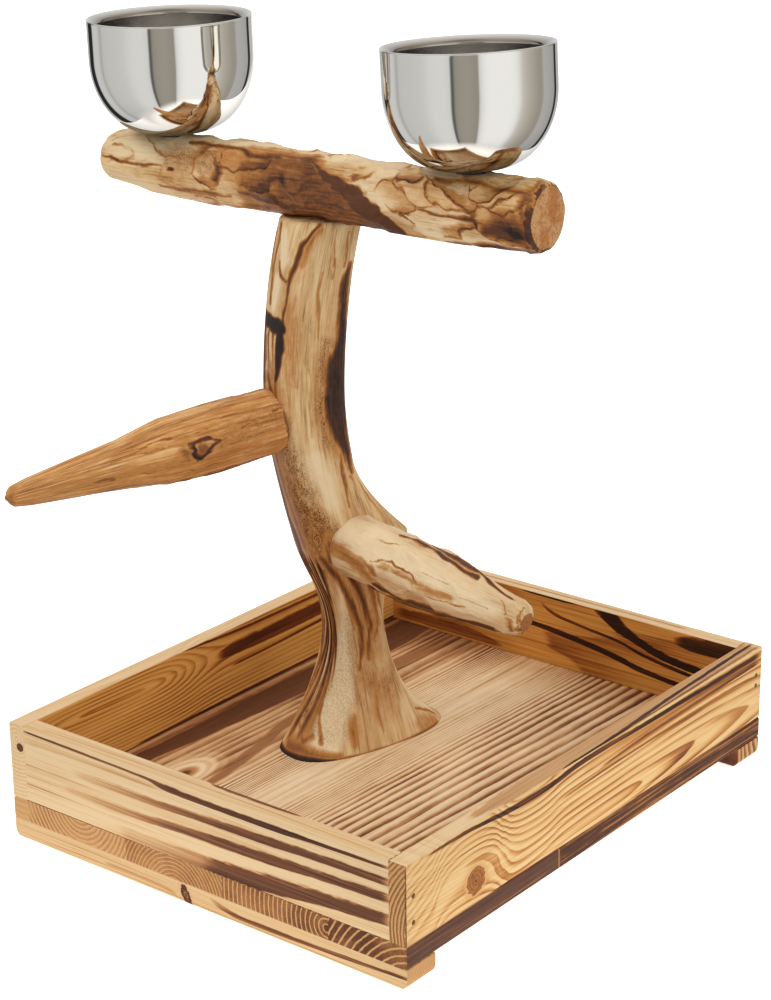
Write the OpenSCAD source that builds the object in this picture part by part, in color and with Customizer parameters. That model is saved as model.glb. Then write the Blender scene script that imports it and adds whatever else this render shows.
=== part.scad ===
// Tabletop perch stand for a pet bird: a nailed pine tray on two foot rails, a curved
// trunk with a flared foot, a whittled top perch, two tapered branches, and two
// double-walled steel cups that screw into the top perch. Millimetres, +Z up.

/* [Tray] */
// Width of the tray, left to right
tray_w = 300; // [280:1:420]
// Depth of the tray, front to rear
tray_d = 366; // [320:1:480]
// Height of the walls over the floor panel
wall_h = 49; // [38:1:80]
// Thickness of the walls
wall_t = 12; // [10:0.5:16]
// Thickness of the floor panel
panel_t = 14; // [12:0.5:20]
// Widths of the floor's second, third and fourth stave, in per cent of all the wide ones
stave_part = [28, 26, 27];
// Rounding along the edges of the boards
board_round = 1; // [0.4:0.1:2]
// Depth of a foot rail
rail_d = 25; // [20:1:40]
// Height of a foot rail
rail_h = 13; // [10:0.5:18]
// Rounding of the foot rails' long lower edges
rail_round = 2; // [1:0.5:4]
// Rounding of the foot rails' lower corners, left and right
rail_end_round = 6; // [2:0.5:7]

/* [Trunk] */
// Place of the trunk's foot, to the right of the joint of the second and third stave
trunk_in = 10.4; // [9:0.2:12]
// Place of the trunk's foot, behind the tray's middle
trunk_back = 19; // [0:1:40]
// Angle of the trunk's broad side to the tray's front
trunk_turn = 64; // [50:1:80]
// Height of the trunk over the tray floor
trunk_h = 334; // [310:1:360]
// Width of the trunk's shaft
trunk_w = 45; // [41:1:50]
// Thickness of the trunk's shaft
trunk_t = 40; // [36:1:44]
// Width of the waist over the flared foot
waist_w = 32; // [30:1:38]
// Height of the waist over the tray floor
waist_h = 81; // [70:1:88]
// Width of the flared foot
foot_w = 116; // [100:1:126]
// Thickness of the flared foot
foot_t = 57; // [50:1:66]
// How far the shaft bows to the side
trunk_bow = 32; // [24:1:38]
// Height of the deepest part of the bow
bow_h = 230; // [225:1:250]
// How far the top comes back from the bow
top_return = 14; // [6:1:18]
// How far the shoulder over the right branch stands out
shoulder_out = 25; // [18:1:28]

/* [Top perch] */
// Length of the top perch to the left of the trunk's middle
perch_left_len = 156; // [150:1:190]
// Length of the top perch to the right of the trunk's middle
perch_right_len = 157; // [150:1:190]
// Diameter of the top perch
perch_d = 41.5; // [38:0.5:46]
// Distance of the top perch in front of the trunk's middle
perch_forward = 3.5; // [0:0.5:6]
// Angle of the top perch to the tray's front
perch_turn = 4; // [0:1:10]
// Depth of the whittled chips
chip_depth = 1.4; // [0.6:0.1:2.4]
// Depth of the flat that rests on the trunk
perch_flat = 1.5; // [1:0.1:3]

/* [Branches] */
// Length of the left branch
left_branch_len = 173; // [140:1:190]
// Diameter of the left branch at its thickest
left_branch_d = 41; // [36:0.5:43]
// Height of the left branch's root over the tray floor
left_branch_h = 213; // [205:1:225]
// Droop of the left branch, in degrees
left_branch_droop = 6.5; // [0:0.5:12]
// Turn of the left branch from the line of the trunk's broad side
left_branch_turn = 2.5; // [-5:0.5:8]
// Length of the right branch
right_branch_len = 137; // [110:1:150]
// Diameter of the right branch at its root
right_branch_d = 41; // [36:0.5:42]
// Height of the right branch's root over the tray floor
right_branch_h = 132; // [125:1:140]
// Droop of the right branch, in degrees
right_branch_droop = 8; // [0:0.5:12]
// Angle of the right branch to the square of the trunk's broad side
right_branch_turn = 25; // [15:1:35]
// Distance from the trunk's middle line to the right branch's butt
right_branch_root = 11; // [8:1:12]

/* [Cups] */
// Outer diameter of a cup
cup_d = 99; // [90:1:110]
// Height of a cup
cup_h = 69; // [62:1:85]
// Diameter of the flat under a cup
cup_foot_d = 30; // [24:1:36]
// Height of the curve from a cup's foot to its side
cup_curve_h = 45; // [36:1:50]
// Thickness of the cups' sheet steel
sheet_t = 0.6; // [0.4:0.1:1]
// Width of the rim between the shell and the liner
rim_w = 6.5; // [5:0.5:9]
// Fall of the rim towards the liner
rim_fall = 1; // [0.5:0.1:2]
// Height of the liner's bottom over the shell's bottom
liner_lift = 7; // [5:0.5:10]
// Distance of the left cup from the trunk's middle
left_cup_out = 105; // [75:1:112]
// Distance of the right cup from the trunk's middle
right_cup_out = 108; // [75:1:115]
// Lean of each cup along the perch, left cup first, in degrees
cup_lean_along = [-2, -4];
// Lean of each cup to the rear, left cup first, in degrees
cup_lean_back = [0.5, 2];
// Diameter of the rubber washers
washer_d = 20; // [16:0.5:24]
// Thickness of the rubber washers
washer_t = 2; // [1:0.1:3]
// Depth of the flats on the perch under the washers
cup_seat_depth = 1.5; // [1:0.1:3]

/* [Fasteners] */
// Thread diameter of the cups' studs
stud_d = 5.9; // [4.9:0.1:7.9]
// Length of a stud under the cup
stud_len = 18; // [14:0.5:20]
// Diameter of the heads on the studs
stud_head_d = 16; // [12:0.5:20]
// Thickness of the heads on the studs
stud_head_t = 1.2; // [0.8:0.1:2]
// Outer diameter of the threaded inserts
insert_d = 10; // [9:0.5:12]
// Length of the threaded inserts
insert_len = 13; // [10:0.5:15]
// Diameter of the nails
nail_d = 1.6; // [1.2:0.1:2.4]
// Length of the corner nails
corner_nail_len = 32; // [26:1:40]
// Length of the nails from the panel into the walls
panel_nail_len = 38; // [30:1:42]
// Heights of the front corner nails over the panel
front_nail_h = [13, 29];
// Heights of the rear corner nails over the panel
rear_nail_h = [24, 31];
// Shank diameter of the countersunk screws
screw_d = 4; // [3.5:0.1:4.5]
// Length of the screws from the panel into the trunk
trunk_screw_len = 42; // [34:1:46]
// Distance between neighbouring trunk screws
trunk_screw_step = 13; // [11:0.5:14]
// Length of the screws from a foot rail into the panel
rail_screw_len = 18; // [16:1:22]
// Depth of the foot rails' screw heads under the surface
rail_screw_sink = 2; // [1:0.5:3]
// Diameter of the double-ended dowel screws
dowel_d = 6; // [5:0.5:8]
// Length of the dowel screws, half in each piece
dowel_len = 44; // [36:1:50]

/* [Hidden] */
$fn = 48;

// Clearances: driven fasteners, threads, pieces that turn or lift, seats of the limbs
drive_gap = 0.1;
thread_gap = 0.05;
moving_gap = 0.3;
seat_gap = 0.2;
// A cut runs this far past the face that it opens
past = 1;

wood_pale = [0.90, 0.76, 0.55];
wood_tan = [0.80, 0.60, 0.38];
wood_brown = [0.62, 0.42, 0.26];
steel = [0.80, 0.80, 0.80];
zinc = [0.66, 0.66, 0.62];
rubber = [0.12, 0.13, 0.12];

// Heights of the tray's levels
floor_z = rail_h + panel_t;
wall_mid_z = floor_z + wall_h / 2;

// Left edge of each stave, from the tray's left edge: the first one is as wide as a wall
wide_w = (tray_w - wall_t) / 100;
stave_edge = [0, wall_t, wall_t + wide_w * stave_part[0],
    wall_t + wide_w * (stave_part[0] + stave_part[1]),
    wall_t + wide_w * (stave_part[0] + stave_part[1] + stave_part[2]), tray_w];

// Middle lines of the walls and of the rails
side_x = tray_w / 2 - wall_t / 2;
end_y = tray_d / 2 - wall_t / 2;
rail_y = tray_d / 2 - rail_d / 2;

// Middle of the trunk's foot, sideways from the tray's middle
trunk_x = stave_edge[2] - tray_w / 2 + trunk_in;

// Trunk: rings, sides of a ring, squareness of the shaft's and the foot's section
trunk_rings = 30;
trunk_sides = 24;
shaft_square = 3.6;
foot_square = 2.6;
bow_start_h = 40;
shaft_full_h = 130;
top_bevel = 2;

// The foot flares slowly on the left and fast on the right, and it is turned, to the
// front and to the left of the shaft by these amounts
left_flare_power = 2.2;
right_flare_power = 2.1;
front_flare_power = 1.8;
foot_turn = 12;
foot_forward = 9;
foot_left = 1;

// The shoulder over the right branch: its reach upwards and downwards
shoulder_up = 50;
shoulder_down = 30;

// Middle of the trunk's section at height h, sideways from the foot's middle
function bow_at(h) =
    h < bow_start_h ? 0
    : h < bow_h ? -trunk_bow * (1 - cos(180 * (h - bow_start_h) / (bow_h - bow_start_h))) / 2
    : -trunk_bow + top_return * pow((h - bow_h) / (trunk_h - bow_h), 2);

// Eases from 0 to 1 as x goes from 0 to 1
function ease(x) = x <= 0 ? 0 : x >= 1 ? 1 : (1 - cos(180 * x)) / 2;

// Share of the foot's flare left at height h
function flare_at(h, power) = pow(max(0, 1 - h / waist_h), power);

// Half width of the shaft at height h, without the foot's flare
function shaft_at(h) = (waist_w + (trunk_w - waist_w)
    * ease((h - waist_h) / (shaft_full_h - waist_h))) / 2;

// The shoulder over the right branch stands out on one side only
function shoulder_at(h) = shoulder_out * (h < right_branch_h
    ? exp(-pow((h - right_branch_h) / shoulder_down, 2))
    : pow(max(0, 1 - (h - right_branch_h) / shoulder_up), 1.6));

// Half sizes of the section at height h: to the left, right and front or rear
function left_half(h) = shaft_at(h)
    + (foot_w - waist_w) / 2 * flare_at(h, left_flare_power);
function right_half(h) = shaft_at(h) + shoulder_at(h)
    + (foot_w - waist_w) / 2 * flare_at(h, right_flare_power);
function front_half(h) = trunk_t / 2
    + (foot_t - trunk_t) / 2 * flare_at(h, front_flare_power);

// One point of a section between an ellipse and a rectangle
function rounded_point(a, half_x, half_y, squareness) =
    [half_x * sign(cos(a)) * pow(abs(cos(a)), 2 / squareness),
     half_y * sign(sin(a)) * pow(abs(sin(a)), 2 / squareness)];

// A point turned by the angle a
function turned(p, a) = [p.x * cos(a) - p.y * sin(a), p.x * sin(a) + p.y * cos(a)];

// Ring of the trunk at height h: its top edge is drawn in by the bevel
function trunk_ring(h, drawn_in) = [for (k = [0:trunk_sides - 1])
    let (a = 360 * k / trunk_sides,
         half_x = (cos(a) > 0 ? right_half(h) : left_half(h)) - drawn_in,
         square = shaft_square + (foot_square - shaft_square) * flare_at(h, 1.5),
         p = turned(rounded_point(a, half_x, front_half(h) - drawn_in, square),
             foot_turn * flare_at(h, 1)))
    [p.x + bow_at(h) - foot_left * flare_at(h, 2), p.y - foot_forward * flare_at(h, 2), h]];

// Heights of the rings: closer together in the flare
function trunk_ring_h(k) = (trunk_h - top_bevel) * pow(k / (trunk_rings - 1), 1.25);

// Solid through a list of rings with the same number of points, lowest ring first
module loft(rings) {
    n = len(rings[0]);
    last = len(rings) - 1;
    points = [for (ring = rings) each ring];
    sides = [for (i = [0:last - 1]) for (k = [0:n - 1])
        let (a = i * n + k, b = i * n + (k + 1) % n)
        each [[a, a + n, b], [b, a + n, b + n]]];
    bottom = [for (k = [0:n - 1]) k];
    top = [for (k = [n - 1:-1:0]) last * n + k];
    polyhedron(points, concat([bottom], sides, [top]));
}

// Repeatable scatter between 0 and 1 for the whittled chips
function scatter(i, k) = abs(sin(i * 127.1 + k * 311.7 + 17));

// Rings of a limb lie closer together near its two ends
function ring_place(u) = u - 0.09 * sin(360 * u);

// A limb along +Z: each ring's radius is a share of the limb's, from the shape table,
// and each corner is set back by a chip of its own
module whittled_limb(length, diameter, shape, rings, chip) {
    loft([for (i = [0:rings]) [for (k = [0:limb_sides - 1])
        let (t = ring_place(i / rings),
             a = (360 * k + 180 * (i % 2)) / limb_sides,
             r = lookup(t, shape) * diameter / 2 - chip * scatter(i, k))
        [r * cos(a), r * sin(a), t * length]]]);
}

// Shapes of the limbs: place along the limb, share of the full radius
perch_shape = [[0, 0.62], [0.02, 0.78], [0.05, 0.89], [0.12, 0.92], [0.18, 0.95],
    [0.27, 1], [0.6, 1.01], [0.8, 1.03], [0.97, 1.03], [1, 0.95]];
left_branch_shape = [[0, 0.9], [0.03, 0.98], [0.25, 1.02], [0.42, 0.99], [0.5, 0.87],
    [0.58, 0.74], [0.75, 0.57], [0.92, 0.4], [0.98, 0.3], [1, 0.16]];
right_branch_shape = [[0, 0.94], [0.03, 1], [0.25, 1.01], [0.5, 0.99], [0.67, 0.85],
    [0.83, 0.68], [0.93, 0.6], [0.98, 0.48], [1, 0.36]];
limb_sides = 12;
perch_rings = 22;
branch_rings = 16;
branch_chip = 0.8;

perch_len = perch_left_len + perch_right_len;
perch_axis_h = trunk_h + perch_d / 2 - perch_flat;

// Places of the branches' roots in the trunk's own frame
left_root_x = bow_at(left_branch_h) - left_half(left_branch_h) + 3;
right_root_x = bow_at(right_branch_h) + 2;

// The origin is the middle of the whole outline: its left edge is that of the perch, of
// the left cup or of the tray, and its right edge is the tray's
top_x = trunk_x + bow_at(trunk_h) * cos(trunk_turn);
perch_left_x = top_x - perch_left_len * cos(perch_turn);
cup_left_x = top_x - left_cup_out * cos(perch_turn) - cup_d / 2
    + cup_h * sin(cup_lean_along[0]);
outline_mid_x = (min(perch_left_x, cup_left_x, -tray_w / 2) + tray_w / 2) / 2;

// Frames: children are drawn in the frame of the tray, trunk, perch, branch or cup
module tray_frame() {
    translate([-outline_mid_x, 0, 0]) children();
}

module trunk_frame() {
    tray_frame() translate([trunk_x, trunk_back, floor_z]) rotate(trunk_turn) children();
}

module perch_frame() {
    trunk_frame() translate([bow_at(trunk_h), 0, perch_axis_h])
        rotate(perch_turn - trunk_turn) translate([0, -perch_forward, 0]) children();
}

module left_branch_frame() {
    trunk_frame() translate([left_root_x, 0, left_branch_h]) rotate(left_branch_turn)
        rotate([0, -90 - left_branch_droop, 0]) children();
}

module right_branch_frame() {
    trunk_frame() translate([right_root_x, 0, right_branch_h])
        rotate(right_branch_turn - 90) rotate([0, 90 + right_branch_droop, 0])
        translate([0, 0, right_branch_root]) children();
}

// Cup 0 is the left one. The frame's origin is the middle of the flat on the perch
cup_along = [-left_cup_out, right_cup_out];
module cup_frame(i) {
    r = perch_d / 2 * lookup((cup_along[i] + perch_left_len) / perch_len, perch_shape);
    perch_frame() translate([cup_along[i], 0, r - cup_seat_depth])
        rotate([-cup_lean_back[i], cup_lean_along[i], 0]) children();
}

// Fasteners, drawn along +Z with the head's face at z = 0
module nail(length, gap = 0) {
    cylinder(h = length + gap, d = nail_d + 2 * gap);
    cylinder(h = nail_d / 2 + gap, d = 1.8 * nail_d + 2 * gap);
}

module countersunk_screw(length, gap = 0) {
    r = screw_d / 2 + gap;
    head_r = screw_d + gap;
    rotate_extrude() polygon([[0, 0], [head_r, 0], [r, head_r - r],
        [r, length - screw_d], [0.3, length + gap], [0, length + gap]]);
}

module dowel_screw(gap = 0) {
    r = dowel_d / 2 + gap;
    half = dowel_len / 2 + gap;
    rotate_extrude() polygon([[0, -half], [r / 3, -half], [r, dowel_d - half],
        [r, half - dowel_d], [r / 3, half], [0, half]]);
}

// Rectangle with round corners, from the origin
module round_rectangle(size, r) {
    translate([r, 0]) square([size.x - 2 * r, size.y]);
    translate([0, r]) square([size.x, size.y - 2 * r]);
    for (x = [r, size.x - r]) for (y = [r, size.y - r]) translate([x, y]) circle(r);
}

// Board along X with round long edges, centred on X and Y, standing on z = 0
module board(length, thickness, height) {
    translate([-length / 2, -thickness / 2, 0]) rotate([90, 0, 90])
        linear_extrude(length) round_rectangle([thickness, height], board_round);
}

// All nails that join the walls at the corners
module corner_nail_set(gap = 0) {
    for (side = [-1, 1]) for (end = [-1, 1])
        for (h = end < 0 ? front_nail_h : rear_nail_h)
            translate([side * tray_w / 2, end * end_y, floor_z + h])
                rotate([0, -side * 90, 0]) nail(corner_nail_len, gap);
}

// All nails that hold the walls down from under the panel
module panel_nail_set(gap = 0) {
    for (side = [-1, 1]) for (y = [-1, 0, 1])
        translate([side * side_x, y * tray_d / 3, rail_h]) nail(panel_nail_len, gap);
    for (end = [-1, 1]) for (x = [-1, 1])
        translate([x * tray_w / 4, end * end_y, rail_h]) nail(panel_nail_len, gap);
}

// One screw in the middle of each wide stave, at both ends
module rail_screw_set(gap = 0) {
    for (end = [-1, 1]) for (i = [1:4])
        translate([(stave_edge[i] + stave_edge[i + 1] - tray_w) / 2, end * rail_y,
            rail_screw_sink]) {
            countersunk_screw(rail_screw_len, gap);
            if (gap > 0) translate([0, 0, -rail_screw_sink - past])
                cylinder(h = rail_screw_sink + past + gap, r = screw_d + gap);
        }
}

module trunk_screw_set(gap = 0) {
    for (k = [-1, 0, 1]) translate([k * trunk_screw_step, 0, -panel_t])
        countersunk_screw(trunk_screw_len, gap);
}

// Stave of the floor panel: the two outer ones have round outer edges
module floor_stave(i) {
    width = stave_edge[i + 1] - stave_edge[i];
    color(i % 2 == 0 ? wood_tan : wood_pale) difference() {
        tray_frame() translate([stave_edge[i] - tray_w / 2, -tray_d / 2, rail_h])
            rotate([90, 0, 180]) mirror([1, 0, 0]) linear_extrude(tray_d)
            stave_section(width, i == 0, i == 4);
        tray_frame() panel_nail_set(drive_gap);
        tray_frame() rail_screw_set(drive_gap);
        trunk_frame() trunk_screw_set(drive_gap);
    }
}

module stave_section(width, round_left, round_right) {
    r = 2 * board_round;
    translate([round_left ? r : 0, 0])
        square([width - (round_left ? r : 0) - (round_right ? r : 0), panel_t]);
    if (round_left) round_rectangle([2 * r + past, panel_t], r);
    if (round_right) translate([width - 2 * r - past, 0])
        round_rectangle([2 * r + past, panel_t], r);
}

module side_board(side) {
    color(wood_pale) difference() {
        tray_frame() translate([side * side_x, 0, floor_z]) rotate(90)
            board(tray_d, wall_t, wall_h);
        tray_frame() corner_nail_set(drive_gap);
        tray_frame() panel_nail_set(drive_gap);
    }
}

module end_board(end) {
    color(end < 0 ? wood_pale : wood_brown) difference() {
        tray_frame() translate([0, end * end_y, floor_z])
            board(tray_w - 2 * wall_t, wall_t, wall_h);
        tray_frame() corner_nail_set(drive_gap);
        tray_frame() panel_nail_set(drive_gap);
    }
}

// Lower edges of a foot rail are round on all four sides
module foot_rail(end) {
    color(wood_tan) difference() {
        tray_frame() translate([0, end * rail_y, 0]) intersection() {
            translate([-tray_w / 2, -rail_d / 2, 0]) rotate([90, 0, 90])
                linear_extrude(tray_w) rail_section(rail_d, rail_round);
            translate([-tray_w / 2, rail_d / 2, 0]) rotate([90, 0, 0])
                linear_extrude(rail_d) rail_section(tray_w, rail_end_round);
        }
        tray_frame() rail_screw_set(drive_gap);
    }
}

module rail_section(width, r) {
    translate([r, 0]) square([width - 2 * r, rail_h]);
    translate([0, r]) square([width, rail_h - r]);
    for (x = [r, width - r]) translate([x, r]) circle(r);
}

module corner_nails() {
    color(zinc) tray_frame() corner_nail_set();
}

module panel_nails() {
    color(zinc) tray_frame() panel_nail_set();
}

module foot_rail_screws() {
    color(zinc) tray_frame() rail_screw_set();
}

// Curved trunk: a bowed shaft on a flared foot, with a flat top, a flat seat for the
// left branch and a round socket for the right one
module trunk() {
    color(wood_tan) difference() {
        trunk_frame() loft(concat(
            [for (k = [0:trunk_rings - 1]) trunk_ring(trunk_ring_h(k), 0)],
            [trunk_ring(trunk_h, top_bevel)]));
        left_branch_frame() cylinder(h = 2 * trunk_w, d = 1.1 * left_branch_d);
        left_branch_frame() dowel_screw(drive_gap);
        right_branch_frame()
            cylinder(h = 2 * trunk_w, d = 1.02 * right_branch_d + 2 * seat_gap);
        right_branch_frame() dowel_screw(drive_gap);
        perch_frame() translate([0, 0, perch_flat - perch_d / 2]) dowel_screw(drive_gap);
        trunk_frame() trunk_screw_set(drive_gap);
    }
}

module trunk_screws() {
    color(zinc) trunk_frame() trunk_screw_set();
}

// Whittled top perch, with a flat under it and a flat and a pilot hole for each cup
module top_perch() {
    color(wood_brown) difference() {
        perch_frame() translate([-perch_left_len, 0, 0]) rotate([0, 90, 0])
            whittled_limb(perch_len, perch_d, perch_shape, perch_rings, chip_depth);
        perch_frame() translate([-trunk_w, -trunk_t, -perch_d])
            cube([2 * trunk_w, 2 * trunk_t, perch_d / 2 + perch_flat]);
        perch_frame() translate([0, 0, perch_flat - perch_d / 2]) dowel_screw(drive_gap);
        for (i = [0, 1]) cup_frame(i) {
            cylinder(h = 2 * cup_seat_depth, d = 1.6 * washer_d);
            translate([0, 0, -insert_len - drive_gap])
                cylinder(h = insert_len + past, d = insert_d + 2 * drive_gap);
            translate([0, 0, -stud_len]) cylinder(h = stud_len, d = stud_d + 2 * drive_gap);
        }
    }
}

module perch_dowel_screw() {
    color(zinc) perch_frame() translate([0, 0, perch_flat - perch_d / 2]) dowel_screw();
}

module left_branch() {
    color(wood_brown) left_branch_frame() difference() {
        whittled_limb(left_branch_len, left_branch_d, left_branch_shape, branch_rings,
            branch_chip);
        dowel_screw(drive_gap);
    }
}

module right_branch() {
    color(wood_pale) right_branch_frame() difference() {
        whittled_limb(right_branch_len, right_branch_d, right_branch_shape, branch_rings,
            branch_chip);
        dowel_screw(drive_gap);
    }
}

module left_branch_dowel_screw() {
    color(zinc) left_branch_frame() dowel_screw();
}

module right_branch_dowel_screw() {
    color(zinc) right_branch_frame() dowel_screw();
}

// Threaded insert, flush with the flat on the perch
module cup_insert(i) {
    color(zinc) cup_frame(i) translate([0, 0, -insert_len]) difference() {
        cylinder(h = insert_len, d = insert_d);
        translate([0, 0, -past])
            cylinder(h = insert_len + 2 * past, d = stud_d + 2 * thread_gap);
    }
}

module washer(i) {
    color(rubber) cup_frame(i) translate([0, 0, moving_gap]) difference() {
        cylinder(h = washer_t, d = washer_d);
        translate([0, 0, -past])
            cylinder(h = washer_t + 2 * past, d = stud_d + 2 * moving_gap);
    }
}

// Height of a cup's bottom over the flat on the perch
cup_z = washer_t + 2 * moving_gap;

// Quarter of an ellipse from the foot's edge up to the side, as section points
curve_steps = 12;
function cup_curve(foot_r, side_r, low_z, rise) = [for (k = [0:curve_steps])
    let (a = 90 * k / curve_steps)
    [foot_r + (side_r - foot_r) * sin(a), low_z + rise * (1 - cos(a))]];

function reversed(list) = [for (k = [len(list) - 1:-1:0]) list[k]];

// Outer shell: sheet of even thickness with a hole for the stud
module cup_shell(i) {
    r = cup_d / 2;
    hole_r = stud_d / 2 + thread_gap;
    top_z = cup_h - sheet_t;
    color(steel) cup_frame(i) translate([0, 0, cup_z]) rotate_extrude($fn = 96)
        polygon(concat([[hole_r, 0]],
            cup_curve(cup_foot_d / 2, r, 0, cup_curve_h),
            [[r, top_z], [r - sheet_t, top_z]],
            reversed(cup_curve(cup_foot_d / 2, r - sheet_t, sheet_t,
                cup_curve_h - sheet_t)),
            [[hole_r, sheet_t]]));
}

// Inner liner: its rim falls inwards from the shell's edge
module cup_liner(i) {
    rim_r = cup_d / 2;
    r = rim_r - rim_w;
    foot_r = cup_foot_d / 2 - rim_w / 2;
    low_z = liner_lift + sheet_t;
    rise = cup_curve_h - liner_lift;
    color(steel) cup_frame(i) translate([0, 0, cup_z]) rotate_extrude($fn = 96)
        polygon(concat([[0, low_z]],
            cup_curve(foot_r, r, low_z, rise),
            [[r, cup_h - rim_fall], [rim_r - sheet_t, cup_h], [rim_r, cup_h],
             [rim_r, cup_h - sheet_t], [rim_r - sheet_t, cup_h - sheet_t],
             [r + sheet_t, cup_h - rim_fall - sheet_t]],
            reversed(cup_curve(foot_r, r + sheet_t, liner_lift, rise + sheet_t)),
            [[0, liner_lift]]));
}

// Stud: its flat head is welded inside the shell
module cup_stud(i) {
    color(zinc) cup_frame(i) translate([0, 0, cup_z]) {
        translate([0, 0, sheet_t]) cylinder(h = stud_head_t, d = stud_head_d);
        translate([0, 0, -stud_len]) cylinder(h = stud_len + sheet_t + past, d = stud_d);
    }
}

floor_stave(0);  // floor_stave_1
floor_stave(1);  // floor_stave_2
floor_stave(2);  // floor_stave_3
floor_stave(3);  // floor_stave_4
floor_stave(4);  // floor_stave_5
side_board(-1);  // left_side_board
side_board(1);  // right_side_board
end_board(-1);  // front_board
end_board(1);  // rear_board
foot_rail(-1);  // front_foot_rail
foot_rail(1);  // rear_foot_rail
corner_nails();
panel_nails();
foot_rail_screws();
trunk();
trunk_screws();
top_perch();
perch_dowel_screw();
left_branch();
left_branch_dowel_screw();
right_branch();
right_branch_dowel_screw();
cup_insert(0);  // left_cup_insert
cup_insert(1);  // right_cup_insert
washer(0);  // left_washer
washer(1);  // right_washer
cup_shell(0);  // left_cup_shell
cup_liner(0);  // left_cup_liner
cup_stud(0);  // left_cup_stud
cup_shell(1);  // right_cup_shell
cup_liner(1);  // right_cup_liner
cup_stud(1);  // right_cup_stud
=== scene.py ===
"""Looks of a bird perch stand: a nailed pine tray, a bowed trunk with whittled limbs and two steel cups.

Lengths are in millimetres up to the last step, where a mesh or a light is put into the scene in metres.
"""

import math

import bpy
import numpy as np
from mathutils import Matrix, Vector


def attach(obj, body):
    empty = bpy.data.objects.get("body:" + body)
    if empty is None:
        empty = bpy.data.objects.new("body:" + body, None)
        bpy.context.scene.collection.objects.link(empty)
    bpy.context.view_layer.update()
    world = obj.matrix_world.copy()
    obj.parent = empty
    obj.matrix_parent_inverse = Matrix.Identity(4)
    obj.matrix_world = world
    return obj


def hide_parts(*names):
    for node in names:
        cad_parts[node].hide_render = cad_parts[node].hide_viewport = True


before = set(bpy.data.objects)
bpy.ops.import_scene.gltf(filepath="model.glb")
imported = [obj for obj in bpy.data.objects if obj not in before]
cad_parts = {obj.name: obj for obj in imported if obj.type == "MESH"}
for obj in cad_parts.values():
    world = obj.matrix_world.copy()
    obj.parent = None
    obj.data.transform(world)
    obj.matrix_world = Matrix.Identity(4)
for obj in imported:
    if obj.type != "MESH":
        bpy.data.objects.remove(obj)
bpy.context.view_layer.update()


# Frames and the shapes that the CAD's source gives

def place(move=(0, 0, 0), turn=0.0, axis="z"):
    """4 x 4 frame: a turn in degrees about an axis, then a move in millimetres."""
    c, s = math.cos(math.radians(turn)), math.sin(math.radians(turn))
    m = np.eye(4)
    m[:3, :3] = {
        "x": [[1, 0, 0], [0, c, -s], [0, s, c]],
        "y": [[c, 0, s], [0, 1, 0], [-s, 0, c]],
        "z": [[c, -s, 0], [s, c, 0], [0, 0, 1]],
    }[axis]
    m[:3, 3] = move
    return m


def put(m, p):
    """Points of any array shape (..., 3) moved into frame m."""
    return p @ m[:3, :3].T + m[:3, 3]


def table(pairs):
    """Function that reads a value between the rows of a table."""
    x, y = zip(*pairs)
    return lambda t: np.interp(t, x, y)


# The tray's width and floor, the seam that the trunk stands by, and the tray's middle, right of the origin
TRAY_W, FLOOR_Z, SEAM, SHIFT = 300, 27, 92.64, 30.7515
# The trunk: its height, waist, bow and the way back at the top, its turn, and the heights of the branches
TRUNK_H, WAIST_H, BOW, BOW_H, RETURN = 334, 81, 32, 230, 14
FOOT_H, SHAFT_H, TRUNK_TURN, LEFT_H, RIGHT_H = 40, 130, 64, 213, 132
# The perch, with the part that lies left of the trunk, and the depth of its flats
PERCH_D, PERCH_LEN, PERCH_LEFT, FLAT = 41.5, 313, 156, 1.5
BRANCH_R, LEFT_LEN, RIGHT_LEN = 20.5, 173, 137
# Share of the full radius along each limb
PERCH_SHAPE = table([(0, .62), (.02, .78), (.05, .89), (.12, .92), (.18, .95), (.27, 1), (.6, 1.01),
                     (.8, 1.03), (.97, 1.03), (1, .95)])
LEFT_SHAPE = table([(0, .9), (.03, .98), (.25, 1.02), (.42, .99), (.5, .87), (.58, .74), (.75, .57),
                    (.92, .4), (.98, .3), (1, .16)])
RIGHT_SHAPE = table([(0, .94), (.03, 1), (.25, 1.01), (.5, .99), (.67, .85), (.83, .68), (.93, .6),
                     (.98, .48), (1, .36)])


def bow(h):
    """Sideways place of the trunk's middle: a half cosine out to the bow, a parabola back to the top."""
    h = np.asarray(h, float)
    out = -BOW * (1 - np.cos(np.pi * (h - FOOT_H) / (BOW_H - FOOT_H))) / 2
    back = -BOW + RETURN * ((h - BOW_H) / (TRUNK_H - BOW_H)) ** 2
    return np.where(h < FOOT_H, 0, np.where(h < BOW_H, out, back))


def flare(h, power):
    """Share of the foot's flare that is left at height h."""
    return np.maximum(0, 1 - h / WAIST_H) ** power


def halves(h):
    """Half sizes of the trunk's section: left, right, front. The shaft swells out of the waist by a half
    cosine, the shoulder is a bell below the right branch and a power above it, and the foot flares by
    powers."""
    t = np.clip((h - WAIST_H) / (SHAFT_H - WAIST_H), 0, 1)
    shaft = (32 + 13 * (1 - np.cos(np.pi * t)) / 2) / 2
    over = np.maximum(0, 1 - (h - RIGHT_H) / 50) ** 1.6
    shoulder = 25 * np.where(h < RIGHT_H, np.exp(-((h - RIGHT_H) / 30) ** 2), over)
    return shaft + 42 * flare(h, 2.2), shaft + shoulder + 40 * flare(h, 2.9), 20 + 8.5 * flare(h, 1.8)


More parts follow.
